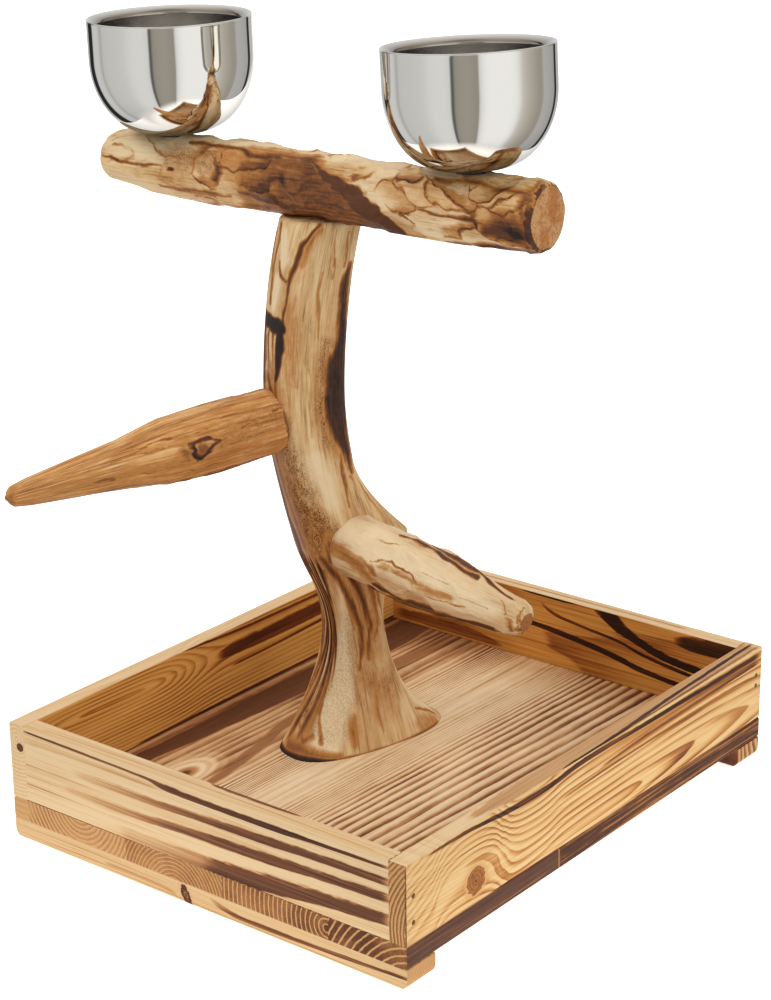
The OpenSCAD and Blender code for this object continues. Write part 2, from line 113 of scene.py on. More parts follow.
TRAY = place((SHIFT, 0, 0))
TRUNK = TRAY @ place((SEAM - TRAY_W / 2 + 10.4, 19, FLOOR_Z), TRUNK_TURN)
PERCH = (TRUNK @ place((float(bow(TRUNK_H)), 0, TRUNK_H + PERCH_D / 2 - FLAT), 4 - TRUNK_TURN)
         @ place((0, -3.5, 0)))
LEFT_BRANCH = (TRUNK @ place((float(bow(LEFT_H) - halves(LEFT_H)[0]) + 3, 0, LEFT_H), 2.5)
               @ place(turn=-96.5, axis="y"))
RIGHT_BRANCH = (TRUNK @ place((float(bow(RIGHT_H)) + 2, 0, RIGHT_H), 25 - 90) @ place(turn=98, axis="y")
                @ place((0, 0, 11)))


def cup_frame(along, back, aside):
    """Middle of the flat on the perch under a cup, leaned as the cup leans."""
    r = PERCH_D / 2 * float(PERCH_SHAPE((along + PERCH_LEFT) / PERCH_LEN))
    return PERCH @ place((along, 0, r - FLAT)) @ place(turn=back, axis="y") @ place(turn=aside, axis="x")


# Meshes

def tube(name, p, look, fields, instead, slot, body="stand"):
    """Closed surface through rings p[i, k], lowest ring first, each ring anticlockwise seen from its far end.
    fields maps a name to values per ring point: one number, or three."""
    n, m = p.shape[:2]
    i, k = np.meshgrid(np.arange(n - 1), np.arange(m), indexing="ij")
    a, b = i * m + k, i * m + (k + 1) % m
    quads = np.stack([a, b, b + m, a + m], -1).reshape(-1, 4)
    low, high = np.arange(m)[::-1], (n - 1) * m + np.arange(m)
    loops = np.concatenate([quads.ravel(), low, high])
    starts = np.concatenate([np.arange(len(quads)) * 4, [len(quads) * 4, len(quads) * 4 + m]])
    mesh = bpy.data.meshes.new(name)
    mesh.vertices.add(n * m)
    mesh.vertices.foreach_set("co", (p.reshape(-1, 3) / 1000).ravel().astype(np.float32))
    mesh.loops.add(len(loops))
    mesh.loops.foreach_set("vertex_index", loops.astype(np.int32))
    mesh.polygons.add(len(starts))
    mesh.polygons.foreach_set("loop_start", starts.astype(np.int32))
    mesh.update(calc_edges=True)
    mesh.validate()
    mesh.polygons.foreach_set("use_smooth", np.ones(len(mesh.polygons), bool))
    for key, v in fields.items():
        v = np.asarray(v, np.float32)
        kind, word = ("FLOAT", "value") if v.ndim == 2 else ("FLOAT_VECTOR", "vector")
        mesh.attributes.new(key, kind, "POINT").data.foreach_set(word, v.ravel())
    o = bpy.data.objects.new(name, mesh)
    bpy.context.scene.collection.objects.link(o)
    mesh.materials.append(look)
    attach(o, body)
    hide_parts(instead)


def ripple(p, size, seed):
    """Rolling noise of about -1 to 1 at points p: a sum of seven waves of random direction and phase, size
    being their length on each axis."""
    rnd = np.random.default_rng(seed)
    total = 0
    for _ in range(7):
        wave = rnd.normal(0, 1, 3) / np.array(size)
        total = total + np.sin(2 * np.pi * (p @ wave + rnd.random()))
    return total / 2.6


def smooth(low, high, v):
    """0 below low, 1 above high, smooth between."""
    t = np.clip((v - low) / (high - low), 0, 1)
    return t * t * (3 - 2 * t)


def strokes(u, v, girth, marks):
    """Field of the strongest mark at each point: its strength inside, and down to 0 over its soft rim. A mark
    is (strength, soft rim, [(u, v, half width), ...]), a chain of round-ended strokes. u goes round."""
    field = np.zeros_like(u)
    for strength, soft, chain in marks:
        chain = chain if len(chain) > 1 else chain * 2
        near = np.full_like(u, 99.0)
        for (u0, v0, w0), (u1, v1, w1) in zip(chain, chain[1:]):
            du = (u - u0 + girth / 2) % girth - girth / 2
            dv = v - v0
            eu, ev = (u1 - u0 + girth / 2) % girth - girth / 2, v1 - v0
            t = np.clip((du * eu + dv * ev) / np.maximum(eu * eu + ev * ev, 1e-6), 0, 1)
            near = np.minimum(near, np.hypot(du - t * eu, dv - t * ev) - (w0 + (w1 - w0) * t))
        field = np.maximum(field, strength * np.clip(.5 - near / soft, 0, 1))
    return field


# A burn with a soft rim under this is a line and has its own field
CRISP = 2.1


def paint(u, v, girth, marks):
    """The painted fields of a limb, by name."""
    keys = {key: marks.get(key, []) for key in ("amber", "pale", "speck", "facet_shade_reach")}
    burns = marks["burn"]
    keys.update(burn=[m for m in burns if m[1] >= CRISP], line=[m for m in burns if m[1] < CRISP])
    return {key: strokes(u, v, girth, chains) for key, chains in keys.items()}


# A limb's marks and scoops are laid out as if it had this radius
GIRTH_R = 20.0
# How far round from its middle a scoop can reach, in radians, and the round of a limb's end edges
REACH = 1.2
EDGE_R = 1.6


def limb(name, m, length, radius, cuts, count, look, marks, **kw):
    """Whittled limb along +Z of frame m. A cut is (z, angle, depth, half length, twist): a knife's scoop that
    is flat across the limb, r = (R - depth (1 - |(z - z0) / half|^3)) / cos(angle from its middle).
    Marks are (strength, soft rim, [(z, degrees, half width), ...])."""
    rows, sides = count
    ends = 24
    z = np.concatenate([np.zeros(ends), np.linspace(0, length, rows), np.full(ends, length)])
    rise = np.linspace(.002, .97, ends)
    share = np.concatenate([rise, np.ones(rows), np.linspace(.97, .002, ends)])[:, None]
    a = np.linspace(0, 2 * np.pi, sides, endpoint=False)
    z, a = np.meshgrid(z, a, indexing="ij")
    bark = radius(z) * (1 + .012 * np.sin(2 * a + z / 31) + .01 * np.sin(3 * a - z / 23))
    # tone and side of each facet drive the painted light and shade of the facets in the wood
    first, second, tone, side = bark.copy(), bark + 9, 0 * a + .5, 0 * a
    rest = .3 + .7 * smooth(0, 14, np.minimum(z, length - z))
    skin = np.stack([bark * np.cos(a), bark * np.sin(a), z], -1)
    along = z + ripple(skin, (15, 15, 22), 5) * 1.6
    around = a + ripple(skin, (15, 15, 20), 6) * .05
    for n, (z0, turn, depth, half, twist) in enumerate(cuts):
        off = (around - turn - twist * (z - z0) + np.pi) % (2 * np.pi) - np.pi
        flat = bark - depth * (1 - np.abs((along - z0) / half) ** 3) * rest
        r = np.where(np.abs(off) < REACH, flat / np.cos(np.clip(off, -REACH, REACH)), 99)
        second = np.where(r < first, first, np.minimum(second, r))
        tone = np.where(r < first, n * .618 % 1, tone)
        side = np.where(r < first, off * 1.6 + (z - z0) / half * .7, side)
        first = np.minimum(first, r)
    rim = share < 1
    low, high = np.maximum(0, 1 - z / EDGE_R), np.maximum(0, 1 - (length - z) / EDGE_R)
    r = np.maximum(first - EDGE_R * (low ** 2 + high ** 2), 1) * share
    lump = radius(length) / 20 * .5 * np.sin(5 * a + 9 * share) * np.sin(11 * share)
    lump = lump + .9 * np.sqrt(np.maximum(0, 1 - share ** 2))
    z = np.where(rim & (z < 1), z - lump * .5, np.where(rim, z + lump, z))
    p = np.stack([r * np.cos(a), r * np.sin(a), z], -1)
    inner = (16 + (first - bark) * .6) * share
    values = {
        "lay": np.stack([inner * np.cos(a), inner * np.sin(a), z], -1),
        "edge": second - first + 1.4 * (1 - rest),
        "cap": np.where(rim, 1.0, 0.0) + 0 * a,
        "facet": tone,
        "side": side,
        "calm": rest * 1.4 - .4,
    }
    u = a * GIRTH_R + ripple(p, (11, 11, 20), 1) * .8 + ripple(p, (5, 5, 8), 2) * .25
    v = z + ripple(p, (11, 11, 18), 3) * 1.2 + ripple(p, (5, 5, 8), 4) * .3
    unrolled = {key: [(power, soft, [(math.radians(t) * GIRTH_R, far, w) for far, t, w in chain])
                      for power, soft, chain in some] for key, some in marks.items()}
    values.update(paint(u, v, 2 * np.pi * GIRTH_R, unrolled))
    tube(name, put(m, p), look, values, **kw)


# Shader maths

class Num:
    """A number or vector in a node tree: Python maths on it adds Math nodes."""

    def __init__(self, net, out):
        self.net, self.out = net, out

    def __neg__(self):
        return self * -1

    def split(self):
        """The three parts of a vector."""
        n = self.net.node("ShaderNodeSeparateXYZ", {0: self}).out.node
        return [Num(self.net, s) for s in n.outputs]


class Net:
    """A material's node tree."""

    def __init__(self, name, world=False):
        if world:
            self.owner = bpy.data.worlds.new(name)
        else:
            self.owner = bpy.data.materials.new(name)
        self.owner.use_nodes = True
        self.tree = self.owner.node_tree
        self.tree.nodes.clear()

    def node(self, kind, inputs=None, out=0, **settings):
        """Any node: its settings, its inputs by name or number, and the output that is used."""
        n = self.tree.nodes.new(kind)
        for key, v in settings.items():
            setattr(n, key, v)
        for key, v in (inputs or {}).items():
            if isinstance(v, Num):
                self.tree.links.new(v.out, n.inputs[key])
            else:
                n.inputs[key].default_value = v
        return Num(self, n.outputs[out])

    def do(self, operation, *values):
        """One Math node."""
        return self.node("ShaderNodeMath", dict(enumerate(values)), operation=operation)

    def clamp(self, v):
        """v held between 0 and 1."""
        return self.node("ShaderNodeClamp", {0: v})

    def hypot(self, a, b):
        """Root of a squared plus b squared."""
        return self.sqrt(a * a + b * b)

    def step(self, low, high, v):
        """0 below low, 1 above high, smooth between."""
        return self.node("ShaderNodeMapRange", {"Value": v, "From Min": low, "From Max": high},
                         interpolation_type="SMOOTHSTEP")

    def noise(self, x, y, z, detail, rough, seed):
        """Noise between 0 and 1 of three numbers whose unit is one blob."""
        spot = self.node("ShaderNodeCombineXYZ", {0: x + seed, 1: y, 2: z})
        return self.node("ShaderNodeTexNoise",
                         {"Vector": spot, "Scale": 1.0, "Detail": detail, "Roughness": rough})

    def field(self, name, out=2):
        """A mesh attribute: output 2 is its number, output 1 its vector."""
        return self.node("ShaderNodeAttribute", out=out, attribute_name=name)

    def curve(self, v, pairs):
        """Smooth curve through pairs (v, value), level beyond its ends."""
        (x0, _), (x1, _) = pairs[0], pairs[-1]
        low, high = min(p[1] for p in pairs), max(p[1] for p in pairs)
        if high - low < 1e-6:
            return low
        n = self.node("ShaderNodeFloatCurve", {"Value": self.clamp((v - x0) / (x1 - x0))})
        mapping = n.out.node.mapping
        points = mapping.curves[0].points
        at = [((px - x0) / (x1 - x0), (py - low) / (high - low)) for px, py in pairs]
        points[0].location, points[1].location = at[0], at[-1]
        for p in at[1:-1]:
            points.new(*p)
        for p in points:
            p.handle_type = "AUTO_CLAMPED"
        mapping.update()
        return n * (high - low) + low

    def chain(self, v, rows):
        """Two curves through rows (v, first value, second value)."""
        return [self.curve(v, [(row[0], row[k]) for row in rows]) for k in (1, 2)]

    def ramp(self, v, stops):
        """Colour ramp: stops are (place, (red, green, blue) as shown on a screen, 0 to 255)."""
        n = self.node("ShaderNodeValToRGB", {0: v})
        e = n.out.node.color_ramp.elements
        while len(e) < len(stops):
            e.new(.5)
        for el, (at, c) in zip(e, stops):
            el.position = at
            el.color = rgb(*c)
        return n

    def mix(self, f, a, b):
        """Colour a where f is 0 and b where it is 1."""
        return self.node("ShaderNodeMix", {0: f, 6: a, 7: b}, out=2, data_type="RGBA")

    def bump(self, height, strength):
        """Normal from a height in millimetres."""
        return self.node("ShaderNodeBump", {"Height": height, "Distance": .001, "Strength": strength})

    def place(self):
        """Place in the object, in millimetres: x, y, z."""
        return [v * 1000 for v in self.node("ShaderNodeTexCoord", out=3).split()]

    def facing(self):
        """Outward direction of the surface: x, y, z."""
        return self.node("ShaderNodeTexCoord", out=1).split()

    def finish(self, **inputs):
        """Principled surface from inputs named with underscores."""
        s = self.node("ShaderNodeBsdfPrincipled", {k.replace("_", " "): v for k, v in inputs.items()})
        self.tree.links.new(s.out, self.tree.nodes.new("ShaderNodeOutputMaterial").inputs["Surface"])
        return self.owner


def operator(kind, reflected=False):
    """Method of Num that adds one Math node. In its reflected form the other value comes first."""
    if reflected:
        return lambda self, other: self.net.do(kind, other, self)
    return lambda self, other: self.net.do(kind, self, other)


def function(kind):
    """Method of Net that adds one Math node."""
    return lambda self, *values: self.do(kind, *values)


for word, kind in {"add": "ADD", "sub": "SUBTRACT", "mul": "MULTIPLY", "truediv": "DIVIDE", "pow": "POWER",
                   "mod": "FLOORED_MODULO"}.items():
    setattr(Num, f"__{word}__", operator(kind))
    setattr(Num, f"__r{word}__", operator(kind, reflected=True))
for word, kind in {"least": "MINIMUM", "most": "MAXIMUM", "abs": "ABSOLUTE", "sqrt": "SQRT",
                   "exp": "EXPONENT", "sin": "SINE"}.items():
    setattr(Net, word, function(kind))


def rgb(*screen):
    """Linear colour with alpha from screen values, 0 to 255."""
    return tuple((c / 255 / 12.92 if c < 11 else ((c / 255 + .055) / 1.055) ** 2.4) for c in screen) + (1.0,)


# Wood of the limbs

# From where to where on the heat each darker tone takes over
CHARRING = [(.06, .28, (188, 128, 66)), (.24, .48, (142, 88, 46)), (.44, .7, (92, 56, 37)),
            (.74, 1, (44, 31, 27))]


def limb_wood(name, stops, lines, streak, wide, long, end=(222, 184, 134), facets=None, dark=(156, 102, 56)):
    """Scorched whittled wood with painted shade on its facets. lay is the place in the limb, edge the
    distance to a facet's edge, facet the facet's own tone and side the place across it; burn, line, amber,
    pale, speck and facet_shade_reach are painted fields. stops are the base's colours and facets how much
    the facets' tones differ, which paints the facets lighter and darker as light falls: without it the wood
    has the trunk's grooves in place of facets. lines is the strength of the painted shade on one side of
    each facet and of the dark lines at its edges, char with painted crease shade."""
    net = Net(name)
    x, y, z = net.field("lay", 1).split()
    painted = ("burn", "amber", "pale", "speck", "line", "cap")
    burn, amber, pale, speck, line, cap = [net.field(key) for key in painted]
    fiber = net.noise(x / 1.3, y / 1.3, z / 42, 4, .68, 3)
    hair = net.noise(x / .7, y / .7, z / 22, 3, .62, 9)
    cloud = net.noise(x / wide, y / wide, z / long, 3, .58, 21)
    mottle = net.noise(x / 3.2, y / 3.2, z / 7, 4, .68, 33)
    ox, oy, oz = net.place()
    dots = net.noise(ox / .85, oy / .85, oz / 1.05, 2, .7, 51)
    tone = cloud * 1.8 - .4 + (mottle - .5) * .6
    if facets:
        # Each facet's own tone paints it lighter or darker, as light falls on the facets
        tone = tone + (net.field("facet") - .5) * facets
    base = net.ramp(net.clamp(tone), stops)
    base = net.mix(net.step(.5, .68, fiber) * streak, base, rgb(*dark))
    base = net.mix(net.step(.46, .3, fiber) * streak * .9, base, rgb(234, 204, 158))
    base = net.mix(net.step(.56, .64, hair) * net.step(.38, .62, cloud) * .62, base, rgb(112, 74, 46))
    base = net.mix(net.clamp(amber * (mottle * 1.5 - .1)), base, rgb(186, 118, 54))
    stain = net.clamp(speck * (mottle * 2 - .25))
    base = net.mix(stain * .85, base, rgb(172, 112, 52))
    base = net.mix(net.clamp(pale * (.55 + mottle * .8)), base, rgb(240, 216, 174))
    stipple = net.step(.44, .6, dots + (speck - 1) * .08 + (mottle - .5) * .3) * net.clamp(speck * 1.3)
    base = net.mix(stipple * (.95 - .62 * net.clamp(pale)), base, rgb(112, 66, 28))
    glow = net.clamp(burn)
    loose = (fiber - .5) * net.field("calm") * 1.7 + (mottle - .5) * 1.2 + (dots - .5) * .5
    heat = glow * 1.04 + glow * (1.2 - glow) * loose
    heat = net.most(heat, line * (1 + (mottle - .5) * .4 + (fiber - .5) * .2 + (dots - .5) * .2))
    if facets:
        # Painted shade, given as heat: each facet darker to one side, and the dark lines at its edges char
        # with crease shade
        near = net.field("edge") + (mottle - .5) * 1.3 + (dots - .5) * .7
        facet_shade_reach = net.clamp(net.field("facet_shade_reach") * 1.1 + (cloud - .5) * 1.2)
        crease = net.step(.66, 0, near) * facet_shade_reach * net.clamp(.2 + cloud * 1.2 + (fiber - .5) * .8)
        shade = net.step(-.3, 1.3, net.field("side") + (mottle - .5)) * facet_shade_reach
        heat = net.most(heat, crease * lines * (.64 + (mottle - .5) * .8))
        heat = heat + shade * lines * (.5 + (fiber - .5) * .5) + crease * glow * .3
    else:
        heat = net.most(heat, net.field("groove") * (.82 + (fiber - .5) * 1.6 + (mottle - .5) * 1.1))
    heat = net.clamp(heat)
    color = base
    for low, high, char in CHARRING:
        color = net.mix(net.step(low, high, heat), color, rgb(*char))
    pits = net.noise(x / 1.2, y / 1.2, z / 1.2, 3, .7, 71)
    wash = net.noise(x / 9, y / 9, z / 9, 3, .6, 77)
    face = net.mix(net.step(.4, .62, wash) * .75, rgb(*end), rgb(184, 110, 50))
    face = net.mix(net.step(.5, .64, pits) * .55, face, rgb(150, 84, 38))
    face = net.mix(net.step(.6, .7, pits) * .8, face, rgb(84, 46, 26))
    color = net.mix(cap * net.step(.8, .4, burn), color, face)
    height = fiber * .6 + hair * .3 + pits * cap * 1.2 - stipple * .2 + mottle * .6
    height = height - net.step(.3, .9, heat) * .3
    return net.finish(Base_Color=color, Roughness=.6, Normal=net.bump(height, .8), Specular_IOR_Level=.2)


# Wood of the boards

# The tray's left edge and its right face
X0, FACE_X = SHIFT - TRAY_W / 2, SHIFT + TRAY_W / 2
# The left side board's inner face
INNER_X = X0 + 12
# Colours from bare wood to charred wood
YELLOW = [(0, (234, 200, 144)), (.28, (216, 166, 102)), (.5, (184, 120, 60)), (.72, (128, 74, 38)),
          (1, (56, 32, 22))]
ORANGE = [(0, (232, 180, 102)), (.28, (208, 144, 68)), (.5, (164, 98, 42)), (.72, (110, 56, 28)),
          (1, (46, 27, 18))]
CREAM = [(0, (230, 200, 156)), (.28, (218, 178, 128)), (.5, (180, 126, 80)), (.72, (112, 68, 44)),
         (1, (58, 37, 30))]
FLOOR = [(0, (240, 212, 172)), (.28, (218, 178, 130)), (.5, (184, 130, 82)), (.72, (132, 82, 50)),
         (1, (68, 42, 30))]
# The rear rail's colours, darkened by painted shade as it stands under the tray
RAIL_IN_SHADE = [(0, (190, 134, 84)), (.3, (146, 94, 60)), (.55, (112, 70, 48)), (.75, (84, 54, 42)),
         (1, (50, 34, 29))]
GRAIN = [(0, (206, 160, 106)), (.3, (190, 140, 88)), (.6, (158, 106, 62)), (.85, (126, 78, 44)),
         (1, (92, 54, 32))]
RAIL = [(0, (220, 190, 146)), (.28, (208, 170, 120)), (.5, (176, 126, 76)), (.72, (116, 68, 40)),
        (1, (46, 28, 24))]


def board_wood(name, along, pith, spacing, tones, knots=(), bands=(), wave=(1.5, 140), sharp=.25, gain=.8,
               base=0.0, fine=.25, end=None, end_gain=.8, blot=.9, tops=(), spot=None, burnt=.62, core=0.0,
               end_rings=None, scorch=None):
    """Sawn pine: r is the distance from the pith line, and r / spacing counts the rings.
    along is the board's axis and pith two curves along it: the line's place across and in height. A knot is
    (along, height, radius), or has its tallness and slant too, and pushes the rings round it. A band is a
    scorched streak, and one on the left side board a gap line with painted shadow: (strength, [(along,
    height, half width), ...]). tops are such bands on the pale upper face, with the place across for the
    height. spot
    is a small knot on the end: (x, z, radius). end_rings are the middle and spacing of the rings on the end,
    and scorch the place of an end's burnt edge."""
    net = Net(name)
    x, y, z = net.place()
    a, b = (x, y) if along == "x" else (y, x)
    drift = net.noise(a / wave[1], b / 50, z / 50, 2, .5, 0)
    shake = (drift - .5) * wave[0] * 2
    streak = net.noise(a / 70, b / 1.1, z / 1.1, 3, .6, 11)
    rag = net.noise(a / 9, b / 1.6, z / 1.6, 2, .6, 23)
    cloud = net.noise(a / 90, b / 16, z / 16, 3, .55, 17)
    hairs = net.noise(a / 150, b / .8, z / .8, 2, .6, 31)
    bent, own = z, None
    for knot_a, knot_z, knot_r, *form in knots:
        tall, slant = form or (1, 0)
        da, dz = a - knot_a + slant * (z - knot_z), (z - knot_z) / tall
        bent = bent - dz * net.exp(-(net.hypot(da / 2.6, dz) / (1.7 * knot_r)) ** 2) * .85
        own = net.hypot(da, dz) / knot_r + (rag - .5) * 4 / knot_r
    r = net.hypot(b + shake - net.curve(a, pith[0]), bent + shake * .6 - net.curve(a, pith[1]))
    phase = (r / spacing + (net.noise(a / 260, b / 14, z / 14, 2, .5, 5) - .5) * .8) % 1
    late = net.step(sharp, .92, phase) * net.step(1, .93, phase)
    ring_heat = net.curve(a, gain) if isinstance(gain, list) else gain
    heat = base + (streak - .5) * fine + (cloud - .5) * .12
    heat = heat + late * ring_heat * net.clamp(1 - blot + blot * 2.2 * (cloud - .25))
    heat = heat + net.step(.54, .7, hairs) * fine * .4
    for strength, rows in bands:
        middle, width = net.chain(a, rows)
        d = (z - middle) / width
        body = net.step(-1.25, -.9, d - (rag - .5) * .3) * net.step(1.5, .75, d + (rag - .5) * .9)
        begin = net.step(rows[0][0] - 1, rows[0][0] + 14, a + rag * 6)
        finish = net.step(rows[-1][0] + 1, rows[-1][0] - 14, a - rag * 6)
        power = net.curve(a, strength) if isinstance(strength, list) else strength
        burn = body * (begin * finish) * (power + (streak - .5) * .34 + (hairs - .5) * .2)
        heat = net.most(heat, heat * .4 + burn)
    if own is not None:
        halo = net.exp(-((own - 1) / .35) ** 2) * .25
        check = net.noise(a / 3, b / 3, z / 3, 2, .6, 41)
        inside = burnt - core * net.step(.8, .1, own) + .07 * net.sin(own * 22) + (check - .5) * .2
        inside = inside + net.step(.18, .05, own) * .2
        heat = net.most(heat * net.step(.95, 1.5, own) + halo, net.step(1.06, .9, own) * inside)
    color = net.ramp(net.clamp(heat), tones)
    facing = net.facing()
    cut = net.step(.6, .8, net.abs(facing[0 if along == "x" else 1]))
    if end_rings:
        across, height, apart = end_rings
        phase = ((net.hypot(b - across, z - height) + (drift - .5) * 3) / apart + cloud) % 1
    rings = net.step(.1, .75, phase) * net.step(1, .85, phase)
    dots = net.noise(a / .8, b / .8, z / .8, 2, .6, 61)
    face = net.clamp(rings * end_gain * (.5 + cloud) + (dots - .5) * .5)
    if spot:
        knot = net.hypot((x - spot[0]), z - spot[1]) / spot[2]
        face = net.most(face, net.step(1.1, .8, knot) * (.7 + dots * .2))
    if scorch:
        face = net.most(face, net.step(1.8, .2, net.abs(b - scorch) + (rag - .5) * 2.4 + net.step(60, 90, z)))
    color = net.mix(cut, color, net.ramp(face, end or tones))
    bare = (streak - .5) * .7 + (cloud - .5) * .3 + .1 + late * .12
    for strength, rows in tops:
        middle, width = net.chain(a, rows)
        d = net.abs(b - middle) / width
        begin = net.step(rows[0][0] - 4, rows[0][0] + 8, a)
        finish = net.step(rows[-1][0] + 4, rows[-1][0] - 8, a)
        burn = net.step(1.4, .7, d + (rag - .5) * 1.2) * strength * (.6 + streak * .8)
        bare = net.most(bare, burn * begin * finish)
    upper = net.step(.6, .8, facing[2]) * net.step(70, 72, z)
    color = net.mix(upper, color, net.ramp(net.clamp(bare), CREAM))
    return net.finish(Base_Color=color, Roughness=.6, Specular_IOR_Level=.12,
                      Normal=net.bump(streak * .35 + late * .25, .3))


